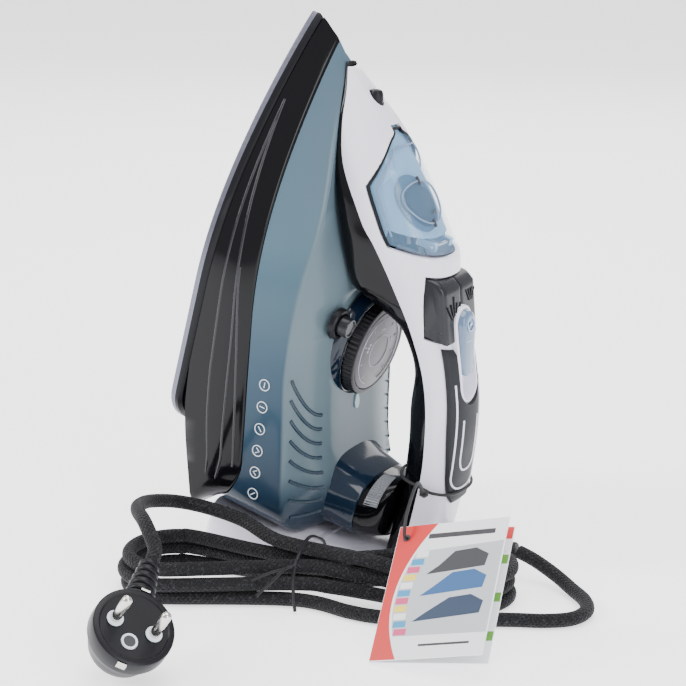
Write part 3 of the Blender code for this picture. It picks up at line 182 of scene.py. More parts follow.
# The braid's strands round the cord, and their crossings for each metre of it.
BRAID_STRANDS = 8.0
BRAID_CROSSINGS = 420.0
# The height in metres over which the tank's colour changes, with painted shade darker towards the floor, and
# how far sideways a face of it points, from 0 to 1, where its painted-lit upper colour ends and where its
# painted-shade side colour starts.
RAMP_HEIGHT = 0.28
LIT_TOP_ENDS = 0.68
SHADED_SIDE_STARTS = 0.93


def new_material(name, colour, rough, metal=0.0, coat=0.0, alpha=1.0, transmission=0.0):
    mat = bpy.data.materials.new(name)
    mat.use_nodes = True
    tree = mat.node_tree
    shader = tree.nodes["Principled BSDF"]
    shader.inputs["Base Color"].default_value = (*colour, 1.0)
    shader.inputs["Roughness"].default_value = rough
    shader.inputs["Metallic"].default_value = metal
    shader.inputs["Coat Weight"].default_value = coat
    shader.inputs["Coat Roughness"].default_value = 0.04
    shader.inputs["Alpha"].default_value = alpha
    shader.inputs["Transmission Weight"].default_value = transmission
    mat.diffuse_color = (*colour, 1.0)
    return mat, tree, shader


def feed(tree, socket, value):
    """Sets a socket to a number or a colour, or links another node's output to it."""
    if isinstance(value, bpy.types.NodeSocket):
        tree.links.new(value, socket)
    else:
        socket.default_value = value


def node(tree, kind, **values):
    """New node. Each value goes to the socket of that name, or else to the node's own option."""
    made = tree.nodes.new(kind)
    for key, value in values.items():
        socket = key.replace("_", " ")
        if socket in made.inputs.keys():
            feed(tree, made.inputs[socket], value)
        else:
            setattr(made, key, value)
    return made


def arithmetic(tree, operation, *values):
    made = node(tree, "ShaderNodeMath", operation=operation)
    for socket, value in zip(made.inputs, values):
        feed(tree, socket, value)
    return made.outputs["Value"]


def object_coordinates(tree, scale=(1.0, 1.0, 1.0)):
    place = node(tree, "ShaderNodeTexCoord")
    return node(tree, "ShaderNodeMapping", Vector=place.outputs["Object"], Scale=scale).outputs["Vector"]


def noise(tree, vector, scale, detail):
    return node(tree, "ShaderNodeTexNoise", Vector=vector, Scale=scale, Detail=detail).outputs["Fac"]


def spread_over(tree, value, low, high):
    """Value from 0 to 1, stretched between two others."""
    return node(tree, "ShaderNodeMapRange", Value=value, To_Min=low, To_Max=high).outputs["Result"]


def mix_colours(tree, factor, first, second):
    return node(tree, "ShaderNodeMix", data_type="RGBA", Factor=factor, A=first, B=second).outputs["Result"]


def vary_colour(tree, shader, vector, light, dark, scale):
    cloud = noise(tree, vector, scale, 3.0)
    feed(tree, shader.inputs["Base Color"], mix_colours(tree, cloud, (*dark, 1.0), (*light, 1.0)))
    return cloud


def vary_roughness(tree, shader, vector, low, high, scale):
    feed(tree, shader.inputs["Roughness"], spread_over(tree, noise(tree, vector, scale, 4.0), low, high))


def add_bump(tree, shader, height, strength, distance):
    bump = node(tree, "ShaderNodeBump", Height=height, Strength=strength, Distance=distance)
    feed(tree, shader.inputs["Normal"], bump.outputs["Normal"])


def moulded(name, colour, rough, coat=0.0, grain=0.1, grain_scale=900.0, spread=0.12, alpha=1.0,
            transmission=0.0, shine=0.5):
    """Moulded plastic: faint cloudiness of colour, handled sheen, and a fine surface grain."""
    mat, tree, shader = new_material(name, colour, rough, coat=coat, alpha=alpha, transmission=transmission)
    shader.inputs["Specular IOR Level"].default_value = shine
    vector = object_coordinates(tree)
    light = tuple(min(1.0, c * (1 + spread)) for c in colour)
    dark = tuple(c * (1 - spread) for c in colour)
    vary_colour(tree, shader, vector, light, dark, 14.0)
    vary_roughness(tree, shader, vector, max(0.02, rough * 0.7), min(1.0, rough * 1.35), 35.0)
    add_bump(tree, shader, noise(tree, vector, grain_scale, 2.0), grain, GRAIN_DEPTH)
    return mat


def brushed(name, colour, rough, stretch=(1.0, 1.0, 40.0)):
    """Metal with fine scratches along one direction."""
    mat, tree, shader = new_material(name, colour, rough, metal=1.0)
    vector = object_coordinates(tree, stretch)
    light = tuple(min(1, c * 1.15) for c in colour)
    dark = tuple(c * 0.8 for c in colour)
    scratches = vary_colour(tree, shader, vector, light, dark, 90.0)
    vary_roughness(tree, shader, vector, rough * 0.7, rough * 1.4, 60.0)
    add_bump(tree, shader, scratches, 0.15, SCRATCH_DEPTH)
    return mat


def colour_by_height(tree, stops):
    """Colour that follows the height above the floor, from (height in metres, colour) stops."""
    place = node(tree, "ShaderNodeTexCoord")
    split = node(tree, "ShaderNodeSeparateXYZ", Vector=place.outputs["Object"])
    share = node(tree, "ShaderNodeMapRange", Value=split.outputs["Z"], From_Min=0.0, From_Max=RAMP_HEIGHT)
    ramp = node(tree, "ShaderNodeValToRGB", Fac=share.outputs["Result"])
    marks = ramp.color_ramp.elements
    while len(marks) < len(stops):
        marks.new(0.5)
    for mark, (height, colour) in zip(marks, stops):
        mark.position = height / RAMP_HEIGHT
        mark.color = (*colour, 1.0)
    return ramp.outputs["Color"]


def tank_plastic(name, shaded_side_stops, lit_top_stops):
    """Clear tinted plastic with painted light: its upright sides are painted in shade, darker than its
    painted-lit upper face, and painted shade darkens it towards the floor, darkest at its foot.
    """
    mat, tree, shader = new_material(name, shaded_side_stops[-1][1], 0.15, transmission=0.1)
    shader.inputs["IOR"].default_value = 1.3
    facing = node(tree, "ShaderNodeNewGeometry")
    split = node(tree, "ShaderNodeSeparateXYZ", Vector=facing.outputs["Normal"])
    sideways = arithmetic(tree, "ABSOLUTE", split.outputs["Y"])
    side = node(tree, "ShaderNodeMapRange", Value=sideways, From_Min=LIT_TOP_ENDS, From_Max=SHADED_SIDE_STARTS)
    # Painted light: faces turned sideways take the shaded side colours, faces turned up take the lit top
    # colours.
    tint = mix_colours(tree, side.outputs["Result"], colour_by_height(tree, lit_top_stops),
                       colour_by_height(tree, shaded_side_stops))
    vector = object_coordinates(tree)
    cloud = spread_over(tree, noise(tree, vector, 9.0, 2.0), 0.85, 1.12)
    cloudy = node(tree, "ShaderNodeVectorMath", operation="SCALE", Vector=tint, Scale=cloud)
    feed(tree, shader.inputs["Base Color"], cloudy.outputs["Vector"])
    vary_roughness(tree, shader, vector, 0.11, 0.2, 30.0)
    add_bump(tree, shader, noise(tree, vector, 600.0, 1.0), 0.04, GRAIN_DEPTH)
    return mat


# Tank colour stops by height above the floor: sides painted in shade, upper face painted lit, both darker
# towards the floor with painted shade.
TANK_SHADED_SIDE = (
    (0.02, (0.010, 0.022, 0.042)), (0.06, (0.020, 0.045, 0.075)), (0.11, (0.040, 0.080, 0.118)),
    (0.17, (0.088, 0.150, 0.190)), (0.26, (0.070, 0.108, 0.152)))
TANK_LIT_TOP = (
    (0.012, (0.008, 0.018, 0.036)), (0.032, (0.020, 0.040, 0.065)), (0.05, (0.105, 0.150, 0.175)),
    (0.12, (0.130, 0.180, 0.205)), (0.26, (0.080, 0.125, 0.165)))


def braid(name, colour, fleck):
    """Braided textile sleeve: crossing strands from the cord's own length and girth coordinates."""
    mat, tree, shader = new_material(name, colour, 0.75)
    shader.inputs["Sheen Weight"].default_value = 0.04
    shader.inputs["Specular IOR Level"].default_value = 0.25
    shader.inputs["Sheen Roughness"].default_value = 0.5
    uv = node(tree, "ShaderNodeUVMap")
    split = node(tree, "ShaderNodeSeparateXYZ", Vector=uv.outputs["UV"])
    waves = []
    for sign in (1.0, -1.0):
        girth = arithmetic(tree, "MULTIPLY", split.outputs["Y"], sign * BRAID_STRANDS)
        turns = arithmetic(tree, "MULTIPLY_ADD", split.outputs["X"], BRAID_CROSSINGS, girth)
        waves.append(arithmetic(tree, "SINE", arithmetic(tree, "MULTIPLY", turns, 2 * math.pi)))
    add_bump(tree, shader, arithmetic(tree, "MAXIMUM", *waves), 0.7, BRAID_DEPTH)
    flecks = node(tree, "ShaderNodeValToRGB", Fac=noise(tree, object_coordinates(tree), 700.0, 2.0))
    ends = ((0.52, colour), (0.78, fleck))
    for mark, (position, tint) in zip(flecks.color_ramp.elements, ends):
        mark.position = position
        mark.color = (*tint, 1.0)
    feed(tree, shader.inputs["Base Color"], flecks.outputs["Color"])
    return mat


INKS = {
    "yellow": (0.80, 0.62, 0.08), "green": (0.10, 0.30, 0.03), "pink": (0.62, 0.06, 0.18),
    "cyan": (0.03, 0.26, 0.50), "blue": (0.02, 0.09, 0.24), "navy": (0.012, 0.03, 0.07),
}
MATERIALS = {
    "sole_metal": brushed("sole_metal", (0.17, 0.17, 0.215), 0.34),
    "sole_dark": moulded("sole_dark", (0.006, 0.006, 0.008), 0.35, shine=0.2),
    "cast_metal": brushed("cast_metal", (0.50, 0.50, 0.52), 0.5, (1, 1, 1)),
    "steel": brushed("steel", (0.68, 0.68, 0.70), 0.3),
    "nickel": brushed("nickel", (0.72, 0.69, 0.66), 0.2, (1, 1, 8)),
    "black_gloss": moulded("black_gloss", (0.003, 0.003, 0.004), 0.1, grain=0.02, shine=0.22),
    "black_satin": moulded("black_satin", (0.007, 0.007, 0.009), 0.36, grain=0.1, shine=0.22),
    "charcoal": moulded("charcoal", (0.014, 0.0145, 0.018), 0.26, grain=0.1, shine=0.3),
    "white_gloss": moulded(
        "white_gloss", (0.80, 0.785, 0.885), 0.24, coat=0.35, grain=0.03, spread=0.02),
    "tank_blue": tank_plastic("tank_blue", TANK_SHADED_SIDE, TANK_LIT_TOP),
    # Darker blue of the tank's grooves: painted shade.
    "tank_groove_shade": moulded("tank_groove_shade", (0.014, 0.032, 0.05), 0.25, spread=0.2),
    "tank_deep": moulded("tank_deep", (0.008, 0.018, 0.036), 0.1, grain=0.02, spread=0.35, shine=0.35),
    "tank_light": moulded("tank_light", (0.20, 0.30, 0.36), 0.2, coat=0.4, grain=0.02),
    "skirt_line": moulded("skirt_line", (0.012, 0.012, 0.015), 0.15, grain=0.02, shine=0.4),
    "lid_blue": moulded("lid_blue", (0.26, 0.44, 0.66), 0.05, grain=0.01, alpha=0.15),
    "lid_edge": moulded("lid_edge", (0.14, 0.21, 0.32), 0.15, coat=0.4, grain=0.02),
    "funnel_shade": moulded("funnel_shade", (0.035, 0.085, 0.15), 0.15, grain=0.02),
    "funnel_blue": moulded("funnel_blue", (0.24, 0.42, 0.60), 0.15, grain=0.02),
    "slider_blue": moulded(
        "slider_blue", (0.13, 0.21, 0.34), 0.07, coat=0.6, grain=0.01, transmission=0.2),
    "slider_light": moulded("slider_light", (0.30, 0.42, 0.58), 0.15, coat=0.4, grain=0.01),
    "grip_rubber": moulded(
        "grip_rubber", (0.014, 0.015, 0.018), 0.5, grain=0.3, grain_scale=1400.0, shine=0.25),
    "dial_grey": moulded("dial_grey", (0.105, 0.10, 0.115), 0.36, grain=0.08, shine=0.3),
    "dial_print": moulded("dial_print", (0.36, 0.37, 0.40), 0.5, grain=0.05),
    "navy_gloss": moulded("navy_gloss", (0.003, 0.008, 0.019), 0.09, grain=0.02, shine=0.4),
    "lens_grey": moulded("lens_grey", (0.20, 0.21, 0.23), 0.3, grain=0.08),
    "print_white": moulded("print_white", (0.72, 0.76, 0.80), 0.5, grain=0.05, spread=0.05),
    "ceramic": moulded("ceramic", (0.72, 0.70, 0.64), 0.6, grain=0.2),
    "cord_black": braid("cord_black", (0.0035, 0.0036, 0.0045), (0.03, 0.031, 0.035)),
    "card_white": moulded(
        "card_white", (0.83, 0.84, 0.86), 0.4, coat=0.2, grain=0.05, spread=0.02),
    "card_red": moulded("card_red", (0.60, 0.022, 0.02), 0.34, grain=0.04, spread=0.04),
    "card_grey": moulded("card_grey", (0.45, 0.47, 0.50), 0.4, coat=0.2, grain=0.05, spread=0.2),
    "ink": moulded("ink", (0.03, 0.03, 0.035), 0.5, grain=0.05),
    "elastic": moulded("elastic", (0.012, 0.012, 0.013), 0.6, grain=0.4, grain_scale=2200.0),
    **{f"print_{ink}": moulded(f"print_{ink}", colour, 0.4, grain=0.05) for ink, colour in INKS.items()},
}


# ---------------------------------------------------------------- making pieces

def dress(obj, finish, body="iron", replaces=()):
    """Gives a piece its material and says which body it rides on and which solids it stands for."""
    obj.data.materials.clear()
    obj.data.materials.append(MATERIALS[finish])
    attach(obj, body)
    if replaces:
        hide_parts(*replaces)
    return obj


def to_object(name, shape, sharp=38.0):
    bmesh.ops.remove_doubles(shape, verts=shape.verts, dist=1e-6)
    bmesh.ops.recalc_face_normals(shape, faces=shape.faces)
    mesh = bpy.data.meshes.new(name)
    shape.to_mesh(mesh)
    shape.free()
    mesh.shade_smooth()
    mesh.set_sharp_from_angle(angle=math.radians(sharp))
    obj = bpy.data.objects.new(name, mesh)
    bpy.context.scene.collection.objects.link(obj)
    return obj


def skin(name, rings, wrap=False, sharp=38.0):
    """Surface through rings of world points. Its last ring joins its first, or else both are closed."""
    shape = bmesh.new()
    rows = [[shape.verts.new(point) for point in ring] for ring in rings]
    count = len(rows[0])
    pairs = list(zip(rows, rows[1:]))
    if wrap:
        pairs.append((rows[-1], rows[0]))
    for low, high in pairs:
        for i in range(count):
            j = (i + 1) % count
            shape.faces.new((low[i], low[j], high[j], high[i]))
    if not wrap:
        for row in (rows[0], rows[-1]):
            close_with_strip(shape, row)
    return to_object(name, shape, sharp)


def close_with_strip(shape, row):
    left, right = 0, len(row) - 1
    while right - left > 2:
        shape.faces.new((row[left], row[left + 1], row[right - 1], row[right]))
        left += 1
        right -= 1
    if right - left == 2:
        shape.faces.new((row[left], row[left + 1], row[right]))


def circle(count, extra=0):
    """Angles of evenly spaced points round a circle, with some extra ones past its full turn."""
    return [2 * math.pi * i / count for i in range(count + extra)]


def shares(count):
    """Even shares of a length, from 0 to 1."""
    return [i / count for i in range(count + 1)]


def turned(name, profile, centre, axis, sides=64, ripple=None):
    """Turns (radius, height) points, in millimetres, about an axis. A ripple changes a radius by angle."""
    axis = axis.normalized()
    first = axis.cross(ACROSS if abs(axis.y) < 0.9 else Vector((1, 0, 0))).normalized()
    second = axis.cross(first)
    rings = []
    for index, (radius, height) in enumerate(profile):
        ring = []
        for a in circle(sides):
            r = max(radius + (ripple(index, a) if ripple else 0.0), 0.001)
            ring.append(centre + (first * math.cos(a) * r + second * math.sin(a) * r + axis * height) * MM)
        rings.append(ring)
    return skin(name, rings)


def frames_along(points):
    """Two steady cross directions at each point of a path."""
    tangents = []
    for i in range(len(points)):
        tangents.append((points[min(i + 1, len(points) - 1)] - points[max(i - 1, 0)]).normalized())
    side = tangents[0].orthogonal().normalized()
    frames = []
    for tangent in tangents:
        side = (side - tangent * side.dot(tangent)).normalized()
        frames.append((side, tangent.cross(side)))
    return frames


def sweep(name, points, radius, sides=16):
    """Tube along world points, with length and girth coordinates for a braid or a print."""
    shape = bmesh.new()
    layer = shape.loops.layers.uv.new("UVMap")
    rows = []
    travelled = [0.0]
    for a, b in zip(points, points[1:]):
        travelled.append(travelled[-1] + (b - a).length)
    for point, (side, other) in zip(points, frames_along(points)):
        rows.append([shape.verts.new(point + (side * math.cos(a) + other * math.sin(a)) * radius * MM)
                     for a in circle(sides)])
    for k in range(len(rows) - 1):
        for i in range(sides):
            j = (i + 1) % sides
            face = shape.faces.new((rows[k][i], rows[k][j], rows[k + 1][j], rows[k + 1][i]))
            corners = ((k, i), (k, i + 1), (k + 1, i + 1), (k + 1, i))
            for loop, (row, column) in zip(face.loops, corners):
                loop[layer].uv = (travelled[row], column / sides)
    for row in (rows[0], rows[-1]):
        shape.faces.new(row)
    return to_object(name, shape, 60.0)


def smooth_path(points, spacing):
    """Even points along a smooth curve through the given ones."""
    pts = [Vector(p) for p in points]
    dense = []
    for i in range(len(pts) - 1):
        before = pts[max(i - 1, 0)]
        after = pts[min(i + 2, len(pts) - 1)]
        a, b = pts[i], pts[i + 1]
        for k in range(24):
            s = k / 24
            s2, s3 = s * s, s * s * s
            dense.append(0.5 * (2 * a + (b - before) * s + (2 * before - 5 * a + 4 * b - after) * s2
                                + (3 * a - before - 3 * b + after) * s3))
    dense.append(pts[-1])
    travelled = [0.0]
    for a, b in zip(dense, dense[1:]):
        travelled.append(travelled[-1] + (b - a).length)
    count = max(2, round(travelled[-1] / spacing) + 1)
    even = np.linspace(0.0, travelled[-1], count)
    axes = [np.interp(even, travelled, [p[k] for p in dense]) for k in range(len(dense[0]))]
    return [Vector(values) for values in zip(*axes)]


def bevel(obj, width):
    """Rounds an object's sharp edges."""
    modifier = obj.modifiers.new("soft_edges", "BEVEL")
    modifier.width = width * MM
    modifier.segments = 3
    modifier.limit_method = "ANGLE"
    modifier.angle_limit = math.radians(30.0)
    modifier.harden_normals = True
    return obj


def cut(obj, *cutters, sharp=38.0):
    """Takes the cutters out of an object, and removes them from the scene."""
    for cutter in cutters:
        modifier = obj.modifiers.new("cut", "BOOLEAN")
        modifier.operation = "DIFFERENCE"
        modifier.solver = "EXACT"
        modifier.object = cutter
    bpy.context.view_layer.update()
    graph = bpy.context.evaluated_depsgraph_get()
    mesh = bpy.data.meshes.new_from_object(obj.evaluated_get(graph))
    obj.modifiers.clear()
    obj.data = mesh
    mesh.shade_smooth()
    mesh.set_sharp_from_angle(angle=math.radians(sharp))
    for cutter in cutters:
        bpy.data.objects.remove(cutter, do_unlink=True)
    return obj


PLAN_POINTS = 60


def plan_half_width(t, front, rear, width, corner=None):
    share = min(max((t - front) / NOSE_LENGTH, 0.0), 1.0)
    half = width * math.sin(math.pi / 2 * share) ** 0.9
    depth = corner or 0.6 * width
    corner = corner or 24.0
    past = (t - (rear - corner)) / corner
    if past > 0:
        half -= depth * (1 - math.sqrt(max(0.0, 1 - past * past)))
    return half


def plan_ring(front, rear, width, height, corner=None):
    """Ring round the iron's pointed outline. Height is a function of t."""
    side = []
    for i in range(1, PLAN_POINTS + 1):
        t = front + (rear - front) * (1 - math.cos(math.pi * i / PLAN_POINTS)) / 2
        side.append((t, plan_half_width(t, front, rear, width, corner)))
    ring = [world(front, height(front))]
    ring += [world(t, height(t), y) for t, y in side]
    ring += [world(t, height(t), -y) for t, y in reversed(side)]
    return ring


def plan_skin(name, rows, **options):
    """Surface through rings round the iron's outline, one for each row of plan_ring's values."""
    return skin(name, [plan_ring(*row) for row in rows], **options)


def oval_ring(front, rear, width, height):
    middle, reach = (front + rear) / 2, (rear - front) / 2
    ring = []
    for a in circle(64):
        t = middle - reach * math.copysign(abs(math.cos(a)) ** 0.8, math.cos(a))
        ring.append(world(t, height, width * math.copysign(abs(math.sin(a)) ** 0.8, math.sin(a))))
    return ring


def capsule_ring(front, rear, half_width, height):
    ring = []
    for middle, start in ((rear - half_width, -90.0), (front + half_width, 90.0)):
        for i in range(17):
            a = math.radians(start + 180.0 * i / 16)
            t = middle + half_width * math.cos(a)
            ring.append(world(t, height(t), half_width * math.sin(a)))
    return ring


def capsule_skin(name, rows, **options):
    """Surface through round-ended rings, one for each row of capsule_ring's values."""
    return skin(name, [capsule_ring(*row) for row in rows], **options)


def arch(width, low, high, first=0.0, last=180.0, steps=40):
    points = []
    for i in range(steps + 1):
        a = math.radians(first + (last - first) * i / steps)
        across = math.copysign(abs(math.cos(a)) ** ROUNDNESS, math.cos(a))
        points.append((width * across, low + (high - low) * max(0.0, math.sin(a)) ** ROUNDNESS))
    return points


def constant(value):
    return lambda t: value


def on_shell(t, angle, lift=0.0):
    """Point over the nose and handle, lift above the white shell's surface."""
    a = math.radians(angle)
    width, low, high = border_half_width(t) + lift, border(t), handle_top(t) + lift
    y = width * math.copysign(abs(math.cos(a)) ** ROUNDNESS, math.cos(a))
    return world(t, low + (high - low) * max(0.0, math.sin(a)) ** ROUNDNESS, y)


def strip(name, finish, path, width, body="iron"):
    """Low rounded line along world points, for a print, a groove or an inlay."""
    return dress(sweep(name, path, width / 2, sides=8), finish, body)


# ---------------------------------------------------------------- camera, light and floor

CAMERA_PLACE = Vector((0.5391, -0.9047, 0.4147))
CAMERA_LOOK = Vector((-0.4919, 0.8254, -0.2790))
CAMERA_LENS = 110.8
STUDIO_WHITE = (0.97, 0.975, 1.0, 1.0)


def aim(obj, place, towards):
    obj.location = place
    obj.rotation_euler = (Vector(towards) - Vector(place)).to_track_quat("-Z", "Y").to_euler()


def make_camera():
    camera = bpy.data.objects.new("camera", bpy.data.cameras.new("camera"))
    bpy.context.scene.collection.objects.link(camera)
    camera.data.lens = CAMERA_LENS
    camera.data.sensor_width = 36.0
    aim(camera, CAMERA_PLACE, CAMERA_PLACE + CAMERA_LOOK)
    bpy.context.scene.camera = camera


def make_light(name, place, towards, size, watts, colour=(1.0, 1.0, 1.0)):
    light = bpy.data.lights.new(name, "AREA")
    light.shape = "RECTANGLE"
    light.size, light.size_y = size
    light.energy = watts
    light.color = colour
    obj = bpy.data.objects.new(name, light)
    bpy.context.scene.collection.objects.link(obj)
    aim(obj, place, towards)


def make_studio():
    middle = (0.0, -0.05, 0.13)
    make_light("key", (-1.3, -0.9, 1.1), middle, (0.5, 1.3), 30.0)
    make_light("fill", (1.3, -0.7, 0.7), middle, (0.5, 1.2), 14.0, (0.97, 0.98, 1.0))
    make_light("top", (0.1, 0.1, 1.5), middle, (1.2, 1.2), 20.0)
    make_light("edge", (-0.5, 1.2, 0.8), middle, (1.2, 0.7), 9.0)
    world_light = bpy.data.worlds.new("studio")
    world_light.use_nodes = True
    sky = world_light.node_tree.nodes["Background"].inputs
    sky["Color"].default_value = STUDIO_WHITE
    sky["Strength"].default_value = 0.85
    bpy.context.scene.world = world_light
    mesh = bpy.data.meshes.new("floor")
    corners = [(-4, -4, 0), (4, -4, 0), (4, 4, 0), (-4, 4, 0)]
    mesh.from_pydata(corners, [], [(0, 1, 2, 3)])
    floor = bpy.data.objects.new("floor", mesh)
    bpy.context.scene.collection.objects.link(floor)
    mat, tree, shader = new_material("floor", (0.93, 0.935, 0.95), 0.6)
    vary_colour(tree, shader, object_coordinates(tree), (0.94, 0.945, 0.96), (0.92, 0.925, 0.94), 3.0)
    shader.inputs["Emission Color"].default_value = STUDIO_WHITE
    shader.inputs["Emission Strength"].default_value = 1.3
    mesh.materials.append(mat)


make_camera()
make_studio()


# ---------------------------------------------------------------- cord

CORD_LEAD = (
    (103.8, 0, 14.0), (113, -0.5, 11.5), (126, -3, 7.0), (138, -9, 4.0), (149, -18, 3.6), (155, -29, 3.6),
    (153, -41, 3.6), (143, -50, 3.6), (129, -57, 3.6), (113, -66, 3.6), (97, -76, 3.6), (81, -84, 3.6),
    (67, -88, 3.6), (55.8, -89, 3.6))
PLUG_LEAD = (
    (-24, -144, 52), (-40, -128, 50), (-52, -110, 45), (-58, -92, 40), (-54, -75, 35), (-40, -66, 31),
    (-20, -66, 28.5), (0, -73, 26.2))
LAYER = 7.2
LAYERS = 3
LEFT_LOOP = Vector((-40.0, -98.0))
RIGHT_LOOP = Vector((95.0, -37.0))
LEFT_R = 24.0
RIGHT_R = 20.0
LEFT_R_CHANGES = (0.0, 1.5, -1.0)
RIGHT_R_CHANGES = (0.0, -0.8, 0.8)
LOOP_STEPS = 12
LOWEST = 3.6
TIE_X = 25.0
TIE_FRONT = (-90.0, -86.5, -81.0)
TIE_REAR = (-60.0, -64.0, -69.0)

plug_side = PLUG_AXIS.cross(PLUG_CABLE).normalized()
plug_cable = plug_side.cross(PLUG_AXIS).normalized()
plug_neck = PLUG_FACE - PLUG_AXIS * 13.0
plug_relief = plug_neck + plug_cable * (PLUG_R + 3.3)
plug_entry = plug_relief + plug_cable * 20.3


def tangent_angle(point, centre, radius, side):
    """Angle on a circle where the line to an outside point touches it."""
    away = Vector(point) - centre
    return math.atan2(away.y, away.x) + side * math.acos(radius / away.length)


def loop_points(centre, radius, arrive, leave, z):
    """Clockwise bend from one strand to the next."""
    while leave > arrive:
        leave -= 2 * math.pi
    angles = [arrive + (leave - arrive) * i / LOOP_STEPS for i in range(LOOP_STEPS + 1)]
    return [(centre.x + radius * math.cos(a), centre.y + radius * math.sin(a), z) for a in angles]


def rising_strand(start, end, z):
    """Strand from the right loop to the tie, which climbs onto the layer above."""
    points = []
    for share in (0.2, 0.4, 0.6, 0.8):
        climb = share * share * (3 - 2 * share)
        points.append((start[0] + (end[0] - start[0]) * share,
                       start[1] + (end[1] - start[1]) * share, z + LAYER * climb))
    return points


def cord_route():
    route = [*CORD_LEAD]
    for layer in range(LAYERS):
        z = LOWEST + LAYER * layer
        left_r = LEFT_R + LEFT_R_CHANGES[layer]
        right_r = RIGHT_R + RIGHT_R_CHANGES[layer]
        front, rear = (TIE_X, TIE_FRONT[layer]), (TIE_X, TIE_REAR[layer])
        route.append((*front, z))
        arrive = tangent_angle(front, LEFT_LOOP, left_r, -1)
        leave = tangent_angle(rear, LEFT_LOOP, left_r, 1)
        route += loop_points(LEFT_LOOP, left_r, arrive, leave, z)
        route.append((*rear, z))
        after = (TIE_X, TIE_FRONT[layer + 1]) if layer + 1 < LAYERS else (TIE_X + 12.0, -75.5)
        arrive = tangent_angle(rear, RIGHT_LOOP, right_r, -1)
        leave = tangent_angle(after, RIGHT_LOOP, right_r, 1)
        bend = loop_points(RIGHT_LOOP, right_r, arrive, leave, z)
        route += bend + rising_strand(bend[-1], after, z)
    route.append((TIE_X - 10.0, -75.0, 25.5))
    return route + [*reversed(PLUG_LEAD), plug_entry + plug_cable * 9.0, plug_entry]


def make_cord():
    points = [p * MM for p in smooth_path(cord_route(), 2.5)]
    cord = dress(sweep("mains_cord", points, CORD_R, sides=20), "cord_black",
                 replaces=("cord_lead", "cord_hank", "cord_plug_lead"))


# ---------------------------------------------------------------- soleplate, skirt and tank

VENTS = 7
VENT_FRONT = 46.0
VENT_PITCH = 19.0
VENT_R = 2.2
# Each leaf ridge of the skirt: where it starts and ends along the sole, how far up the skirt it is there,
# and how far it bulges upwards between them.
LEAVES = ((40.0, 0.20, 238.0, 0.62, 0.22), (40.0, 0.20, 244.0, 0.42, 0.02), (120.0, 0.62, 224.0, 0.86, 0.06))
LEAF_SUNK = 0.62
TANK_GROOVES = 8
MARK_R = 2.9
MARK_FRONT = 174.0
MARK_PITCH = 11.9
MARK_HEIGHT = 51.6
MARK_RISE = 1.55
INLET_T = 86.0
INLET_H = 40.0
INLET_R = 7.5


def rod(name, base, axis, radius, length, sides=48):
    return turned(name, [(radius, 0.0), (radius, length)], base, axis, sides)


def make_soleplate():
    sole = plan_skin("soleplate_face", [
        (inset, SOLE_LENGTH - inset, SOLE_HALF_WIDTH - inset, constant(height)) for inset, height in
        ((1.5, 0.0), (0.5, 0.4), (0.0, 1.4), (0.0, SOLE_THICK - 1.0), (1.0, SOLE_THICK))])
    vents = []
    for i in range(VENTS):
        t = VENT_FRONT + VENT_PITCH * i
        y = 0.72 * plan_half_width(t, 22.0, SOLE_LENGTH, SOLE_HALF_WIDTH - 12.0)
        for side in (-1, 1):
            vents.append(rod(f"vent_{i}_{side + 1}", world(t, -2.0, side * y), UP, VENT_R, 6.0, 24))
    dress(cut(sole, *vents, sharp=10.0), "sole_metal", replaces=("soleplate",))
    dress(plan_skin("soleplate_seam", [
        (inset, SOLE_LENGTH - inset, SOLE_HALF_WIDTH - inset, constant(height)) for inset, height in
        ((-0.05, 3.4), (-0.05, SOLE_THICK - 0.9), (1.2, SOLE_THICK + 0.9))]), "sole_dark")


def skirt_low(t):
    return SOLE_THICK + 1.6 + skirt_rise(t)


def skirt_mid(t):
    return (skirt_low(t) + skirt_top(t)) / 2


def skirt_outside():
    def skirt_quarter(t):
        return skirt_low(t) + 0.22 * (skirt_top(t) - skirt_low(t))

    return [
        (2.4, SOLE_LENGTH - 4.0, SOLE_HALF_WIDTH - 2.0, constant(SOLE_THICK + 0.9)),
        (1.2, SKIRT_REAR, SOLE_HALF_WIDTH - 0.3, skirt_low, 7.0),
        (2.6, SKIRT_REAR, SOLE_HALF_WIDTH - 0.2, skirt_quarter, 8.0),
        (5.0, SKIRT_REAR, SOLE_HALF_WIDTH - 0.6, skirt_mid, 12.0),
        (8.0, SKIRT_REAR - 0.3, SOLE_HALF_WIDTH - 1.4, lambda t: skirt_top(t) - 1.2),
        (9.4, SKIRT_REAR - 0.8, TANK_HALF_WIDTH - 0.4, skirt_top),
    ]


def skirt_point(t, share, side):
    """Point sunk a little into the skirt's face, share of the way up it."""
    height = skirt_low(t) + share * (skirt_top(t) - skirt_low(t))
    front = 1.2 + 7.0 * share
    half = plan_half_width(t, front, SKIRT_REAR, SOLE_HALF_WIDTH - 0.2 - 0.9 * share ** 2)
    return world(t, height, side * (half - LEAF_SUNK))


def make_skirt():
    inner = [
        (16.0, SKIRT_REAR - 2.7, TANK_HALF_WIDTH - 2.4, skirt_top),
        (12.0, SKIRT_REAR - 2.4, SOLE_HALF_WIDTH - 2.8, skirt_mid),
        (9.0, SOLE_LENGTH - 6.2, SOLE_HALF_WIDTH - 3.7, constant(SOLE_THICK + 1.0)),
    ]
    shell = plan_skin("skirt_shell", skirt_outside() + inner, wrap=True, sharp=50.0)
    dress(shell, "black_gloss", replaces=("sole_skirt",))
    for number, (start, low, end, high, bulge) in enumerate(LEAVES):
        for side in (-1, 1):
            path = []
            for share in shares(40):
                up = low + (high - low) * share + bulge * math.sin(math.pi * share)
                path.append(skirt_point(start + (end - start) * share, up, side))
            strip(f"skirt_line_{number}_{side + 1}", "skirt_line", path, 1.8)


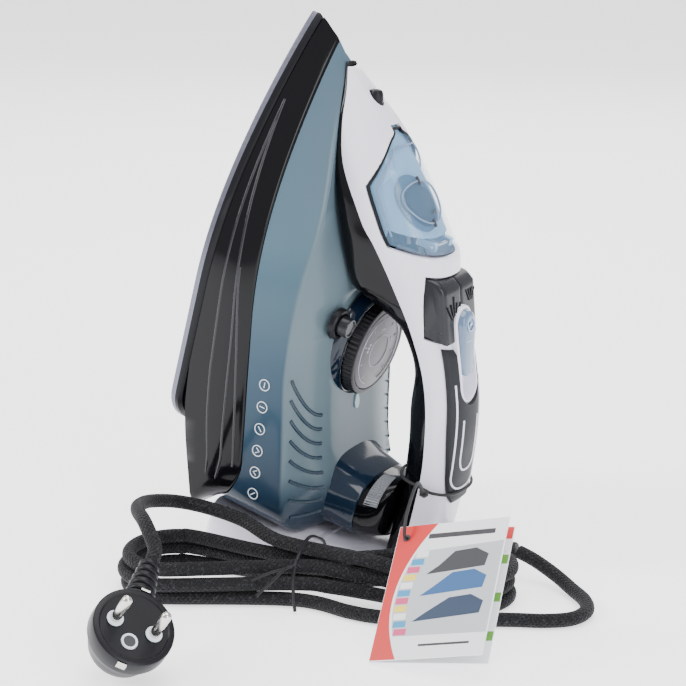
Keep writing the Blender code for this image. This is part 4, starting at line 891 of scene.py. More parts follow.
def tank_rings():
    width = TANK_HALF_WIDTH

    def seat(t):
        return skirt_top(t) + 0.3

    def side_high(t):
        return max(crease(t) - 1.6, seat(t) + 0.3)

    def shoulder(t):
        return max(crease(t) + 1.0, side_high(t) + 0.2)

    return [
        (9.6, TANK_REAR, width - 0.2, seat),
        (14.2, TANK_REAR, width - 1.2, side_high),
        (15.2, TANK_REAR - 0.3, width - 2.0, lambda t: max(crease(t), seat(t) + 0.4)),
        (16.2, TANK_REAR - 1.0, width - 3.6, shoulder),
        (22.0, TANK_REAR - 7.0, 33.0, tank_top),
        (30.0, TANK_REAR - 10.0, 16.0, tank_top),
    ]


def slope_point(share, s, side):
    """Point on the sloping upper side of the tank, s of the way from its crease up to its top."""
    u1 = 16.2 + (TANK_REAR - 1.0 - 16.2) * share
    u2 = 22.0 + (TANK_REAR - 7.0 - 22.0) * share
    low = Vector((u1, crease(u1) + 1.0, plan_half_width(u1, 16.2, TANK_REAR - 1.0, TANK_HALF_WIDTH - 3.6)))
    high = Vector((u2, tank_top(u2), plan_half_width(u2, 22.0, TANK_REAR - 7.0, 33.0)))
    t, h, y = low + (high - low) * s
    return world(t, h, side * y)


def make_tank():
    tank = plan_skin("tank_shell", tank_rings(), sharp=50.0)
    well = rod("dial_well_room", world(DIAL_T, 71.8), UP, DIAL_R + 1.6, 20.0, 64)
    inlet = rod("inlet_room", world(INLET_T, INLET_H), UP, INLET_R, 40.0)
    collar = rod("clean_room", world(CLEAN_T, 69.4, CLEAN_Y), UP, 8.9, 12.0)
    dress(cut(tank, well, inlet, collar), "tank_blue", replaces=("water_tank",))
    top = tank_top(TURRET_REAR)
    rows = ((TURRET_FRONT - 5, TURRET_REAR, TURRET_HALF_WIDTH + 6, top - 5.0),
            (TURRET_FRONT - 2, TURRET_REAR, TURRET_HALF_WIDTH + 2, top + 4.0),
            (TURRET_FRONT, TURRET_REAR, TURRET_HALF_WIDTH, TURRET_TOP - 1.0),
            (TURRET_FRONT + 1, TURRET_REAR - 1, TURRET_HALF_WIDTH - 1, TURRET_TOP))
    turret = skin("tank_turret", [oval_ring(*row) for row in rows], sharp=50.0)
    dress(turret, "tank_deep")
    make_tank_grooves()
    make_tank_marks()
    make_tank_pointer()


def make_tank_grooves():
    """Grooves up the tank's shoulder beside the turret, closer together at their upper ends, drawn as low
    strips whose darker colour is painted shade of the grooves.
    """
    for k in range(TANK_GROOVES):
        low = (168.0 + 10.6 * k - 15.0) / 241.0
        high = (186.0 + 7.4 * k - 22.0) / 227.0
        for side in (-1, 1):
            path = []
            for s in shares(20):
                bend = math.sin(math.pi / 2 * s) ** 0.9
                path.append(slope_point(low + (high - low) * bend, 0.10 + 0.86 * s, side))
            strip(f"tank_groove_{k}_{side + 1}", "tank_groove_shade", path, 1.9)


def side_mark(name, points, t, h):
    """Thin printed stroke on the tank's near side, around (t, h)."""
    path = []
    for dt, dh in points:
        tt, hh = t + dt * MARK_R, h + dh * MARK_R
        path.append(world(tt, hh, -plan_half_width(tt, 11.5, TANK_REAR, TANK_HALF_WIDTH - 0.5) - 0.05))
    strip(name, "print_white", path, 0.5)


def make_tank_marks():
    """A row of small round setting marks along the near side, each with its own simple sign."""
    ring = [(math.cos(a), math.sin(a)) for a in circle(20, 1)]
    signs = (
        ((-0.5, 0.0), (0.5, 0.0)), ((0.0, -0.5), (0.0, 0.5)), ((-0.4, -0.4), (0.4, 0.4)),
        ((-0.5, -0.3), (0.0, 0.4), (0.5, -0.3)), ((-0.5, 0.3), (0.0, -0.4), (0.5, 0.3)),
        ((0.4, -0.4), (-0.4, 0.4)))
    for number, sign in enumerate(signs):
        t = MARK_FRONT + MARK_PITCH * number
        h = MARK_HEIGHT + MARK_RISE * number
        side_mark(f"tank_mark_ring_{number}", ring, t, h)
        side_mark(f"tank_mark_sign_{number}", sign, t, h)


def make_tank_pointer():
    """Drop shaped pointer on the tank behind the dial."""
    rings = []
    for lift in (0.0, 0.7):
        ring = []
        for a in circle(32):
            reach = 3.4 * (1 - 0.35 * math.cos(a))
            t = 187.0 - 4.2 * math.cos(a) - (2.0 if math.cos(a) > 0.9 else 0.0)
            y = reach * math.sin(a) * 0.62
            ring.append(world(t, tank_top(t) + 0.1 + lift, y))
        rings.append(ring)
    dress(skin("dial_pointer", rings), "tank_light")


# ---------------------------------------------------------------- handle, nose and heel

HANDLE_END = 246.0
SHELL_WALL = 2.2
LENS_STEPS = 32
HEEL_OUTLINE = (
    (29, 36), (31, 43), (36, 47.5), (45, 49.5), (60, 50), (84, 48), (100, 40), (118, 28), (130, 23.5),
    (139, 20.5), (144, 15))


def rear_leaned(t, h):
    if t <= 215.0:
        return t
    share = (t - 215.0) / (HANDLE_END - 215.0)
    return t + share * (floor_t(h) - HEEL_PLATE - 0.3 - HANDLE_END)


def section(t, width, low, high):
    return [world(rear_leaned(t, h), h, y) for y, h in arch(width, low, high)]


def track_cutter(name, clearance=0.3, low=100.0, high=160.0):
    """Room for the slider's track, from one height up to another."""
    reach = TRACK_HALF_WIDTH + clearance
    front, rear = TRACK_FRONT - clearance, TRACK_REAR + clearance
    return capsule_skin(name, [(front, rear, reach, constant(height)) for height in (low, high)])


def block(name, low, high):
    """Box between two (t, h, y) corners."""
    ring = [(low[0], low[2]), (high[0], low[2]), (high[0], high[2]), (low[0], high[2])]
    return skin(name, [[world(t, h, y) for t, y in ring] for h in (low[1], high[1])])


def lid_first_angle(t):
    if t < 67.0:
        return 84.0 - 67.0 * min(max((t - LID_FRONT) / (67.0 - LID_FRONT), 0.0), 1.0) ** 0.6
    return 17.0 - 2.0 * min((t - 67.0) / (LID_REAR - 67.0), 1.0)


def lid_rings(expand, above, below, count=34, steps=40):
    front, rear = LID_FRONT - 2 * expand, LID_REAR + expand
    rings = []
    for i in range(count):
        t = front + (rear - front) * i / (count - 1)
        first = lid_first_angle(t) - expand * 2.4
        width, low, high = border_half_width(t), border(t), handle_top(t)
        outer = arch(width - above, low, high - above, first, 180 - first, steps)
        inner = arch(width - below, low, high - below, first, 180 - first, steps)
        rings.append([world(t, h, y) for y, h in outer] + [world(t, h, y) for y, h in reversed(inner)])
    return rings


NOZZLE_AXIS = direction(-1.0, -0.28)
NOZZLE_BASE = world(26.0, 45.6) - NOZZLE_AXIS * 12.0 * MM
EXIT_AXIS = Vector((1, 0, 0))


def exit_place():
    return world(EXIT_T, handle_top(EXIT_T))


def make_shell():
    rings = []
    for t in np.linspace(19.0, HANDLE_END, 100):
        width, low, high = border_half_width(t), border(t), handle_top(t)
        wall = min(SHELL_WALL, 0.6 * (high - low))
        outer = section(t, width, low, high)
        inner = section(t, width - wall, low, high - wall)
        rings.append(outer + inner[::-1])
    shell = skin("handle_body", rings, sharp=45.0)
    cut(shell,
        skin("lid_room", lid_rings(LID_GAP, -4.0, SHELL_WALL + 3.0, 20, 24)),
        block("button_room", (BLOCK_REAR + 0.8, 90.0, -BLOCK_HALF_WIDTH - 0.5),
              (BLOCK_FRONT - 0.5, 150.0, BLOCK_HALF_WIDTH + 0.5)),
        track_cutter("track_room"),
        rod("nozzle_room", NOZZLE_BASE, NOZZLE_AXIS, 3.8, 12.0),
        rod("socket_room", exit_place() - EXIT_AXIS * 8.0 * MM, EXIT_AXIS, 7.7, 20.0))
    dress(shell, "white_gloss", replaces=("handle_shell",))


def trim_ring(t):
    top = border(t) - 0.3
    bottom = trim_bottom(t)
    wall = min(2.2, 0.55 * (top - bottom))
    upper, lower = border_half_width(t), trim_half_width(t)
    ease = min(max((t - 118.0) / 12.0, 0.0), 1.0)
    power = 0.25 + 0.35 * ease
    rings = []
    for inset in (0.0, wall):
        side = []
        for i in range(29):
            a = math.pi * i / 28
            share = math.sin(a)
            across = math.copysign(abs(math.cos(a)) ** power, math.cos(a))
            half = upper + (lower - upper) * share - inset
            h = top - (top - bottom - inset) * share ** 0.8
            side.append(world(rear_leaned(t, h), h, half * across))
        rings.append(side)
    return rings[0] + rings[1][::-1]


def make_trim():
    rings = [trim_ring(t) for t in np.linspace(17.5, HANDLE_END, 110)]
    trim = skin("handle_underside", rings, sharp=45.0)
    cut(trim, rod("trim_inlet_room", world(INLET_T, INLET_H), UP, INLET_R, 24.0))
    dress(trim, "black_gloss", replaces=("handle_inner_trim",))
    for side in (-1, 1):
        path = []
        for t in np.linspace(19.0, 214.0, 90):
            path.append(world(t, border(t) - 0.15, side * (border_half_width(t) - 0.35)))
        strip(f"border_seam_{side + 1}", "sole_dark", path, 0.8)


def make_rear_cover():
    low, high = TURRET_TOP + 0.3, trim_bottom(TURRET_FRONT - 6.0) - 0.3
    rows = ((0.4, -1.0, -0.4, 0.0), (-0.3, -1.4, -1.0, 0.3), (-1.2, -2.2, -2.4, 0.55),
            (-2.6, -3.0, -5.0, 0.8), (-4.0, -4.0, -8.0, 1.0))
    rings = [oval_ring(TURRET_FRONT + front, TURRET_REAR + rear, TURRET_HALF_WIDTH + width,
                       low + (high - low) * share) for front, rear, width, share in rows]
    dress(skin("rear_cap", rings, sharp=60.0), "black_gloss", replaces=("handle_rear_cover",))
    make_lens(TURRET_TOP + 3.0, high - 3.5, high - TURRET_TOP)


def make_lens(foot, head, cap_height):
    """Ribbed lens that follows the rear cap round its near front corner, between two heights."""
    middle, reach = (TURRET_FRONT + TURRET_REAR) / 2, (TURRET_REAR - TURRET_FRONT) / 2
    rings = []
    for i in range(LENS_STEPS + 1):
        angle = math.radians(15.0 + 60.0 * i / LENS_STEPS)
        rib = 0.35 * (i % 2)
        ring = []
        for h, out in ((foot, 1.0 - rib), (head, 1.0 - rib), (head, -0.8), (foot, -0.8)):
            share = (h - TURRET_TOP) / cap_height
            t = middle - (reach + out + 0.5 + 2.0 * share) * math.cos(angle) ** 0.8
            y = -(TURRET_HALF_WIDTH + out - 0.6 - 4.0 * share) * math.sin(angle) ** 0.8
            ring.append(world(t, h, y))
        rings.append(ring)
    dress(skin("lens_bar", rings, sharp=20.0), "lens_grey", replaces=("indicator_lens",))


def make_heel():
    outline = smooth_path(HEEL_OUTLINE, 2.0)

    def ring(depth, inset):
        side = []
        for h, y in outline:
            h_in = h + inset if h < 90 else h - inset
            front = min(HEEL_FRONT, floor_t(h_in) - HEEL_PLATE)
            side.append((front + depth * (floor_t(h_in) - front), h_in, y - inset))
        return [world(*p) for p in side] + [world(t, h, -y) for t, h, y in reversed(side)]

    rows = ((0.0, 1.0), (0.05, 0.2), (0.12, 0.0), (0.8, 0.0), (0.93, 0.3), (1.0, 1.2))
    heel = skin("heel_body", [ring(*row) for row in rows], sharp=45.0)
    dress(heel, "white_gloss", replaces=("heel_stand",))


# ---------------------------------------------------------------- grip pad, lid and nozzle

PAD_STEPS = 30
PAD_UNDER = 0.3
LID_STEPS = 39


def pad_first_angle(t):
    share = (t - PAD_FRONT) / (PAD_REAR - PAD_FRONT)
    return along((0.0, 42.0), (0.45, 38.0), (0.8, 48.0), (0.94, 60.0), (1.0, 74.0))(share)


def make_grip():
    rings = []
    for t in np.linspace(PAD_FRONT, PAD_REAR, 46):
        first = pad_first_angle(t)
        edge = min(1.0, (t - PAD_FRONT) / 2.5 + 0.35, (PAD_REAR - t) / 2.5 + 0.35)
        outer, inner = [], []
        for i in range(PAD_STEPS + 1):
            side_edge = min(1.0, 0.35 + i / 2.5, 0.35 + (PAD_STEPS - i) / 2.5)
            thick = PAD_UNDER + (PAD_THICK - PAD_UNDER) * edge * side_edge
            turn = (180 - 2 * first) * i / PAD_STEPS
            outer.append(on_shell(t, first + turn, thick))
            inner.append(on_shell(t, 180 - first - turn, PAD_UNDER))
        rings.append(outer + inner)
    pad = cut(skin("grip_rubber_pad", rings, sharp=50.0), track_cutter("pad_track_room"))
    dress(pad, "grip_rubber", replaces=("grip_pad",))
    for name, node_name, front, rear, angle in (
            ("grip_line_outer", "grip_inlay_outer", 150.0, 206.0, 58.0),
            ("grip_line_inner", "grip_inlay_inner", 168.0, 196.0, 74.0)):
        route = [(front + (rear - 8 - front) * i / 24, angle) for i in range(25)]
        for i in range(1, 17):
            a = math.pi / 2 * i / 16
            route.append((rear - 8 + 8 * math.sin(a), 90 - (90 - angle) * math.cos(a)))
        route += [(t, 180 - a) for t, a in reversed(route[:-1])]
        line = sweep(name, [on_shell(t, a, PAD_THICK - 0.2) for t, a in route], 0.65, sides=10)
        dress(line, "white_gloss", replaces=(node_name,))


def lid_outline(expand, lift):
    """Points round the lid's edge, from its rear corner on the near side over the front to the far side."""
    front, rear = LID_FRONT - 2 * expand, LID_REAR + expand
    side = []
    for i in range(LID_STEPS + 1):
        t = front + (rear - front) * i / LID_STEPS
        side.append((t, lid_first_angle(t) - expand * 2.4))
    points = [on_shell(t, 180 - a, lift) for t, a in reversed(side)]
    return points + [on_shell(t, a, lift) for t, a in side]


def make_lid():
    lid = skin("lid_window", lid_rings(0.0, 0.0, 1.8), sharp=40.0)
    dress(bevel(lid, 0.5), "lid_blue", body="lid", replaces=("filler_lid",))
    gasket = sweep("lid_gasket", lid_outline(LID_GAP * 0.55, -0.9), 0.85, sides=12)
    dress(gasket, "black_satin", replaces=("inlet_gasket",))
    inner = [(t, lid_first_angle(t) + 6.0) for t in np.linspace(LID_FRONT + 5.0, LID_REAR - 4.0, 36)]
    path = [on_shell(t, 180 - a, -0.2) for t, a in reversed(inner)]
    path += [on_shell(t, a, -0.2) for t, a in inner]
    dress(sweep("lid_lip_line", path, 0.5, sides=8), "lid_edge", body="lid")


def shell_at(t, y, lift=0.0):
    """Point on the shell's surface straight above (t, y)."""
    a = math.acos(min(1.0, (abs(y) / border_half_width(t)) ** (1 / ROUNDNESS)))
    h = border(t) + (handle_top(t) - border(t)) * math.sin(a) ** ROUNDNESS
    return world(t, h + lift, y)


def make_lid_details():
    """Moulded ring and stop on the lid, and under it two patches of painted shade: the shaded funnel well and
    the dark mouth of the funnel.
    """
    ring = [shell_at(69.0 + 8.6 * math.cos(a), -4.0 + 12.5 * math.sin(a), -0.1) for a in circle(40, 1)]
    dress(sweep("lid_ring", ring, 0.5, sides=8), "lid_edge", body="lid")
    for number, (t, y) in enumerate(((60.4, -4.0), (77.6, -4.0))):
        path = [shell_at(t - 1.6, y, -0.1), shell_at(t, y, 0.1), shell_at(t + 1.6, y, -0.1)]
        dress(sweep(f"lid_clip_{number}", path, 0.8, sides=8), "ink", body="lid")
    button_profile = [(0.0, 0.3), (1.2, 0.3), (1.5, 0.0), (0.0, -0.5)]
    button = turned("lid_stop", button_profile, shell_at(73.5, -0.5), UP, 24)
    dress(button, "ink", body="lid")
    # Painted shade: a darker blue patch for the funnel seen under the lid, and a near-black navy disc for the
    # shade in its mouth.
    lid_patch("funnel_well_shade", "funnel_shade", 70.0, 108.0, 11.5, 30.0, -2.3)
    lid_patch("funnel_mouth_shade", "navy_gloss", 70.5, 104.0, 8.8, 22.0, -2.1)


def lid_patch(name, finish, t, angle, reach, spread, lift):
    """Oval patch of painted shade that follows the shell's curve below the lid: reach is in mm along t,
    spread in degrees.
    """
    rings = []
    under = lift - 0.3
    for share, depth in ((0.01, lift), (0.4, lift), (0.75, lift), (1.0, lift), (1.0, under), (0.01, under)):
        rings.append([on_shell(t + reach * share * math.cos(a), angle + spread * share * math.sin(a), depth)
                      for a in circle(48)])
    dress(skin(name, rings), finish)


def make_nozzle():
    profile = [(0.0, 9.6), (0.5, 9.6), (0.9, 11.4), (1.7, 11.9), (2.6, 11.6), (3.3, 10.4), (3.5, 9.0),
               (3.5, 6.4), (3.2, 6.1), (3.2, 5.5), (3.5, 5.2), (3.5, 0.6), (0.0, 0.6)]
    tip = turned("nozzle_tip", profile, NOZZLE_BASE, NOZZLE_AXIS)
    dress(tip, "black_satin", replaces=("spray_nozzle",))


# ---------------------------------------------------------------- buttons, slider, dial and self-clean button

PRINT_LIFT = 0.15
BURST_RAYS = 5
SPRAY_RAYS = 4
SLIDER_RING_T = 121.2
SLIDER_STEP_T = 129.5


def block_top(t):
    return 116.0 + (t - BLOCK_FRONT) / (BLOCK_REAR - BLOCK_FRONT) * 10.5


def button_rows():
    """Sections of one button, from the gap between the two outwards: (y, drop of its top, inset)."""
    steps = 12
    rows = [(0.25, 0.5, 0.0), (0.7, 0.1, 0.0)]
    for i in range(1, steps + 1):
        rows.append((0.7 + (BLOCK_HALF_WIDTH - 3.2) * i / steps, 0.5 * (i / steps) ** 2, 0.0))
    return rows + [(BLOCK_HALF_WIDTH - 1.2, 1.1, 0.2), (BLOCK_HALF_WIDTH - 0.4, 2.1, 0.5),
                   (BLOCK_HALF_WIDTH, 3.4, 1.0)]


def button_outline(drop, inset):
    """A button's section along the handle, as (t, h) points."""
    front, rear = BLOCK_FRONT + inset, BLOCK_REAR - inset
    outline = [(front, 97.5), (BLOCK_FRONT + 0.3 + inset, 105.0),
               (BLOCK_FRONT + 0.7 + inset, block_top(BLOCK_FRONT) - 4.0 - drop),
               (BLOCK_FRONT + 1.6 + inset, block_top(BLOCK_FRONT) - 1.9 - drop),
               (BLOCK_FRONT + 3.4 + inset, block_top(BLOCK_FRONT + 3) - drop)]
    crown = np.linspace(BLOCK_FRONT + 6, BLOCK_REAR - 1.2 - inset, 8)
    outline += [(t, block_top(t) - drop) for t in crown]
    return outline + [(rear, block_top(BLOCK_REAR) - drop - 1.0), (rear, 112.0), (BLOCK_REAR - 9.0, 107.5)]


def make_buttons():
    for name, node_name, body, side in (("steam_key_cap", "steam_button", "steam_key", -1),
                                        ("spray_key_cap", "spray_button", "spray_key", 1)):
        rings = [[world(t, h, side * y) for t, h in button_outline(drop, inset)]
                 for y, drop, inset in button_rows()]
        cap = cut(skin(name, rings, sharp=40.0), track_cutter(f"{name}_track_room", 0.5, 90.0))
        dress(cap, "charcoal", body=body, replaces=(node_name,))
    for i in range(BURST_RAYS):
        a = math.radians(-44.0 + 22.0 * i)
        path = []
        for reach in (3.6, 6.0, 9.0 if i % 2 else 11.0):
            t, y = 124.0 - 1.4 * reach * math.cos(a) * 0.9, -13.2 + 9.0 + reach * math.sin(a) * 0.9
            path.append(world(t - 2.0, block_top(t - 2.0) + PRINT_LIFT, y - 3.5))
        strip(f"burst_ray_{i}", "charcoal", path, 0.9, body="steam_key")
    for i in range(SPRAY_RAYS):
        path = []
        for share in shares(2):
            t = 113.0 - 5.5 * share
            y = 9.5 + (i - 1.5) * (0.8 + 2.0 * share)
            path.append(world(t, block_top(t) + PRINT_LIFT, y))
        strip(f"spray_ray_{i}", "charcoal", path, 0.8, body="spray_key")


def track_floor(t):
    return 118.2 + 0.28 * (t - TRACK_FRONT)


def make_slider():
    inner = TRACK_HALF_WIDTH - 1.5
    rise = along((130, 4.0), (136, 7.5), (TRACK_REAR, 7.0))

    def rim(t):
        return track_floor(t) + rise(t)

    channel = capsule_skin("slider_channel", [
        (TRACK_FRONT, TRACK_REAR, TRACK_HALF_WIDTH, lambda t: track_floor(t) - 1.6),
        (TRACK_FRONT, TRACK_REAR, TRACK_HALF_WIDTH, lambda t: rim(t) - 0.5),
        (TRACK_FRONT + 0.5, TRACK_REAR - 0.5, TRACK_HALF_WIDTH - 0.5, rim),
        (TRACK_FRONT + 1.5, TRACK_REAR - 1.5, inner, rim),
        (TRACK_FRONT + 1.8, TRACK_REAR - 1.8, inner - 0.3, track_floor),
    ])
    dress(channel, "white_gloss", replaces=("slider_track",))
    half = inner - 0.6
    shoulder = along((SLIDER_FRONT, 6.2), (124, 6.6), (128, 6.4), (133, 5.0), (SLIDER_REAR, 6.0))

    def above_shoulder(lift):
        return lambda t: track_floor(t) + shoulder(t) + lift

    rows = [(SLIDER_FRONT, SLIDER_REAR, half, lambda t: track_floor(t) + 0.3)]
    for inset, lift in ((0.0, -0.4), (0.3, 0.3), (0.9, 0.9), (2.0, 1.2)):
        rows.append((SLIDER_FRONT + inset, SLIDER_REAR - inset, half - inset, above_shoulder(lift)))
    slider = capsule_skin("slider_cap", rows, sharp=60.0)
    dress(slider, "slider_blue", body="slider", replaces=("steam_slider",))
    top = above_shoulder(1.2)
    ring = [(SLIDER_RING_T + 3.3 * math.cos(a), 3.3 * math.sin(a)) for a in circle(28, 1)]
    strip("slider_ring", "slider_light", [world(t, top(t), y) for t, y in ring], 0.9, body="slider")
    dot_place = world(SLIDER_RING_T, above_shoulder(1.3)(SLIDER_RING_T))
    dot = turned("slider_dot", [(0.0, 0.3), (1.0, 0.3), (1.3, 0.0), (0.0, -0.4)], dot_place, UP, 24)
    dress(dot, "slider_light", body="slider")
    step_height = above_shoulder(1.1)(SLIDER_STEP_T)
    step = [world(SLIDER_STEP_T, step_height, y) for y in np.linspace(-4.4, 4.4, 9)]
    strip("slider_step", "slider_light", step, 0.9, body="slider")


KNURL_DEPTH = 0.28
KNURLS = 60
DIAL_TICKS = 9
DIAL_FIRST_TICK = 40.0
DIAL_TICK_STEP = 35.0
DIAL_DOTS_R = 12.2
DIAL_DOT_STEP = 9.0


def knurl(index, angle):
    """Fine ridges round the dial's upright rim, which is the profile's points 5 and 6."""
    return KNURL_DEPTH * math.cos(KNURLS * angle) - KNURL_DEPTH if index in (5, 6) else 0.0


def dial_mark(name, points):
    """Printed line on the dial's face, from (back, across) points."""
    path = [world(DIAL_T + x, DIAL_TOP + 0.32, y) for x, y in points]
    strip(name, "dial_print", path, 0.55, body="dial")


def dial_point(radius, degrees):
    return radius * math.cos(math.radians(degrees)), radius * math.sin(math.radians(degrees))


def dial_arc(radius, first, last, count):
    return [dial_point(radius, first + (last - first) * i / count) for i in range(count + 1)]


def make_dial():
    centre = world(DIAL_T, 0.0)
    cone = [(4.0, 70.0), (30.5, 70.0), (30.3, 71.6), (28.6, 73.6), (26.6, 75.2), (25.6, 75.6), (24.6, 75.2),
            (22.0, 73.9), (4.0, 73.9)]
    base = turned("dial_skirt_ring", cone, centre, UP, 96)
    dress(base, "navy_gloss", replaces=("dial_base_ring",))
    rim = DIAL_TOP - 5.6
    profile = [(0.0, DIAL_TOP - 1.0), (DIAL_R - 3.2, DIAL_TOP - 1.0), (DIAL_R - 3.0, DIAL_TOP - 0.1),
               (DIAL_R - 1.8, DIAL_TOP), (DIAL_R - 0.6, DIAL_TOP - 0.4), (DIAL_R, DIAL_TOP - 1.4),
               (DIAL_R, rim), (DIAL_R - 1.4, rim - 0.4), (DIAL_R - 4.0, DIAL_LOW), (0.0, DIAL_LOW)]
    dial = turned("dial_rim", profile, centre, UP, 360, ripple=knurl)
    dress(dial, "black_satin", body="dial", replaces=("thermostat_dial",))
    face = [(0.0, DIAL_TOP + 0.3), (DIAL_R - 4.4, DIAL_TOP + 0.3), (DIAL_R - 3.6, DIAL_TOP - 0.1),
            (DIAL_R - 3.4, DIAL_TOP - 0.7), (0.0, DIAL_TOP - 0.7)]
    plate = turned("dial_plate", face, centre, UP, 96)
    dress(plate, "dial_grey", body="dial", replaces=("dial_face",))
    dial_mark("dial_line_outer", dial_arc(18.5, 20, 340, 80))
    dial_mark("dial_line_inner", dial_arc(9.0, 0, 360, 40))
    for number in range(DIAL_TICKS):
        angle = DIAL_FIRST_TICK + DIAL_TICK_STEP * number
        dial_mark(f"dial_tick_{number}", [dial_point(r, angle) for r in (15.0, 17.0)])
    dot_profile = [(0.0, 0.15), (0.7, 0.15), (0.8, 0.0), (0.0, -0.1)]
    for group, a in enumerate((110.0, 180.0, 250.0)):
        for k in range(group + 1):
            x, y = dial_point(DIAL_DOTS_R, a + DIAL_DOT_STEP * (k - group / 2))
            place = world(DIAL_T + x, DIAL_TOP + 0.3, y)
            dot = turned(f"dial_dot_{group}_{k}", dot_profile, place, UP, 16)
            dress(dot, "dial_print", body="dial")


def make_self_clean():
    seat = tank_top(CLEAN_T + 8.2) + 0.3
    centre = world(CLEAN_T, 0.0, CLEAN_Y)
    section_points = [(5.7, seat), (8.2, seat), (8.2, seat + 2.4), (7.6, seat + 3.1), (6.2, seat + 3.2),
                      (5.7, seat + 2.6), (5.7, seat)]
    collar = turned("clean_collar", section_points, centre, UP)
    dress(collar, "black_satin", replaces=("self_clean_collar",))
    head = seat + 8.5
    profile = [(0.0, head - 0.8), (3.6, head - 0.7), (4.1, head - 0.1), (4.7, head), (5.2, head - 0.7),
               (5.2, seat + 3.4), (2.0, seat + 3.4), (2.0, 30.0), (0.0, 30.0)]
    button = turned("clean_button", profile, centre, UP)
    dress(button, "charcoal", body="self_clean", replaces=("self_clean_button",))


# ---------------------------------------------------------------- plug, tie, tag and elastic

def relief_profile(start, length, low_radius, high_radius, ribs):
    """Ribbed sleeve on a cable, thinner towards its free end."""
    outline = [(0.0, start + length)]
    pitch = length / ribs
    for i in range(ribs):
        top = start + length - i * pitch
        radius = low_radius + (high_radius - low_radius) * i / (ribs - 1)
        outline += [(radius - 0.4, top), (radius, top - 0.15 * pitch), (radius, top - 0.5 * pitch),
                    (radius - 0.3, top - 0.62 * pitch), (radius - 0.9, top - 0.68 * pitch),
                    (radius - 0.9, top - 0.95 * pitch)]
    return outline + [(high_radius, start), (0.0, start)]


def make_plug():
    r = PLUG_R
    profile = [(0.0, -0.6), (r - 3.4, -0.6), (r - 2.8, 0.0), (r - 1.0, 0.0), (r - 0.2, -0.5), (r, -1.4),
               (r, -9.0), (r - 0.6, -10.6), (r - 2.0, -13.0), (r - 3.0, -17.0), (r - 4.2, -21.0),
               (r - 7.0, -23.6), (0.0, -24.0)]
    body = turned("plug_shell", profile, PLUG_FACE * MM, PLUG_AXIS, 96)
    dress(body, "black_satin", replaces=("plug_body",))
    neck_profile = [(0.0, 4.0), (9.6, 4.0), (9.4, r - 2.0), (9.0, r + 2.0), (8.4, r + 3.0), (0.0, r + 3.0)]
    neck = turned("plug_neck", neck_profile, plug_neck * MM, plug_cable, 64)
    dress(neck, "black_satin")
    sleeve = turned("plug_sleeve", relief_profile(0.0, 20.0, 5.0, 7.2, 5), plug_relief * MM, plug_cable, 48)
    dress(sleeve, "black_satin", replaces=("plug_strain_relief",))
    pin_profile = [(0.0, 19.0), (0.9, 18.9), (1.8, 18.3), (2.4, 17.2), (2.4, 0.0), (0.0, 0.0)]
    collar_profile = [(2.6, -0.4), (3.9, -0.4), (3.9, 0.2), (3.5, 0.5), (2.6, 0.5)]
    for name, node_name, sign in (("plug_pin_a", "plug_pin_left", -1), ("plug_pin_b", "plug_pin_right", 1)):
        foot = (PLUG_FACE + plug_side * (sign * PIN_SPACING / 2) + PLUG_AXIS * 0.3) * MM
        pin = turned(name, pin_profile, foot, PLUG_AXIS, 40)
        dress(pin, "nickel", replaces=(node_name,))
        collar = turned(f"plug_collar_{sign + 1}", collar_profile, foot, PLUG_AXIS, 40)
        dress(collar, "print_white")
    socket_place = (PLUG_FACE - plug_cable * 8.0) * MM
    hole_profile = [(0.0, -0.3), (2.9, -0.3), (2.9, 0.0), (3.8, 0.1), (4.0, -0.5), (0.0, -0.5)]
    hole = turned("plug_earth_hole", hole_profile, socket_place, PLUG_AXIS, 40)
    dress(hole, "print_white")
    bore_profile = [(0.0, -0.2), (2.8, -0.2), (2.8, -0.4), (0.0, -0.4)]
    bore = turned("plug_earth_bore", bore_profile, socket_place, PLUG_AXIS, 40)
    dress(bore, "ink")
    exit_sleeve = turned("exit_sleeve", relief_profile(4.3, 36.0, 4.3, 6.4, 9), exit_place(), EXIT_AXIS, 40)
    dress(exit_sleeve, "black_satin", body="swivel", replaces=("cord_strain_relief",))


def wire_path(points):
    return [p * MM for p in smooth_path(points, 1.5)]


def make_tie():
    """Wire tie wrapped over the hank, with its two ends twisted and left free."""
    loop = ((30.5, -97.2, 1.2), (30.0, -97.6, 10), (29.5, -96.8, 20), (29, -92.0, 26.5), (26, -81.0, 30.3),
            (24, -72.0, 30.3), (22, -62.0, 26.0), (21, -53.6, 20), (20.5, -53.4, 10), (20.5, -53.6, 1.2))
    tie = sweep("hank_tie", wire_path(loop), 0.9, sides=12)
    dress(tie, "black_satin", replaces=("wire_tie",))
    for number, end in enumerate(((8, -101, 14), (14, -106, 9))):
        start = Vector((29.0, -94.5, 24.0))
        middle = (start + Vector(end)) / 2 + Vector((0, -2, 1))
        path = [start, start + Vector((-3, -4, -1)), middle, end]
        dress(sweep(f"tie_end_{number}", wire_path(path), 0.8, sides=10), "black_satin")


# The back leaf's printed face, behind the front leaf's face.
BACK_FACE = -0.9
TAG_PRINTS = 11
TAG_PRINT_PITCH = 4.3
TAG_HOLE = (5.0, 68.0)


def tag_point(across, up, out=0.0, fan=0.0):
    normal = TAG_ACROSS.cross(TAG_UP).normalized()
    a = TAG_ACROSS * math.cos(fan) - normal * math.sin(fan)
    outward = a.cross(TAG_UP).normalized()
    return (TAG_CORNER + a * across + TAG_UP * up + outward * out) * MM


def card(name, outline, finish, low, high, fan=0.0, replaces=()):
    """Flat printed card or a patch of print on one, between two distances from the leaf's face."""
    shape = bmesh.new()
    rows = [[shape.verts.new(tag_point(x, y, depth, fan)) for x, y in outline] for depth in (low, high)]
    count = len(outline)
    for i in range(count):
        j = (i + 1) % count
        shape.faces.new((rows[0][i], rows[0][j], rows[1][j], rows[1][i]))
    for row in rows:
        shape.faces.new(row)
    return dress(to_object(name, shape), finish, replaces=replaces)


def oblong(left, low, right, high):
    return [(left, low), (right, low), (right, high), (left, high)]


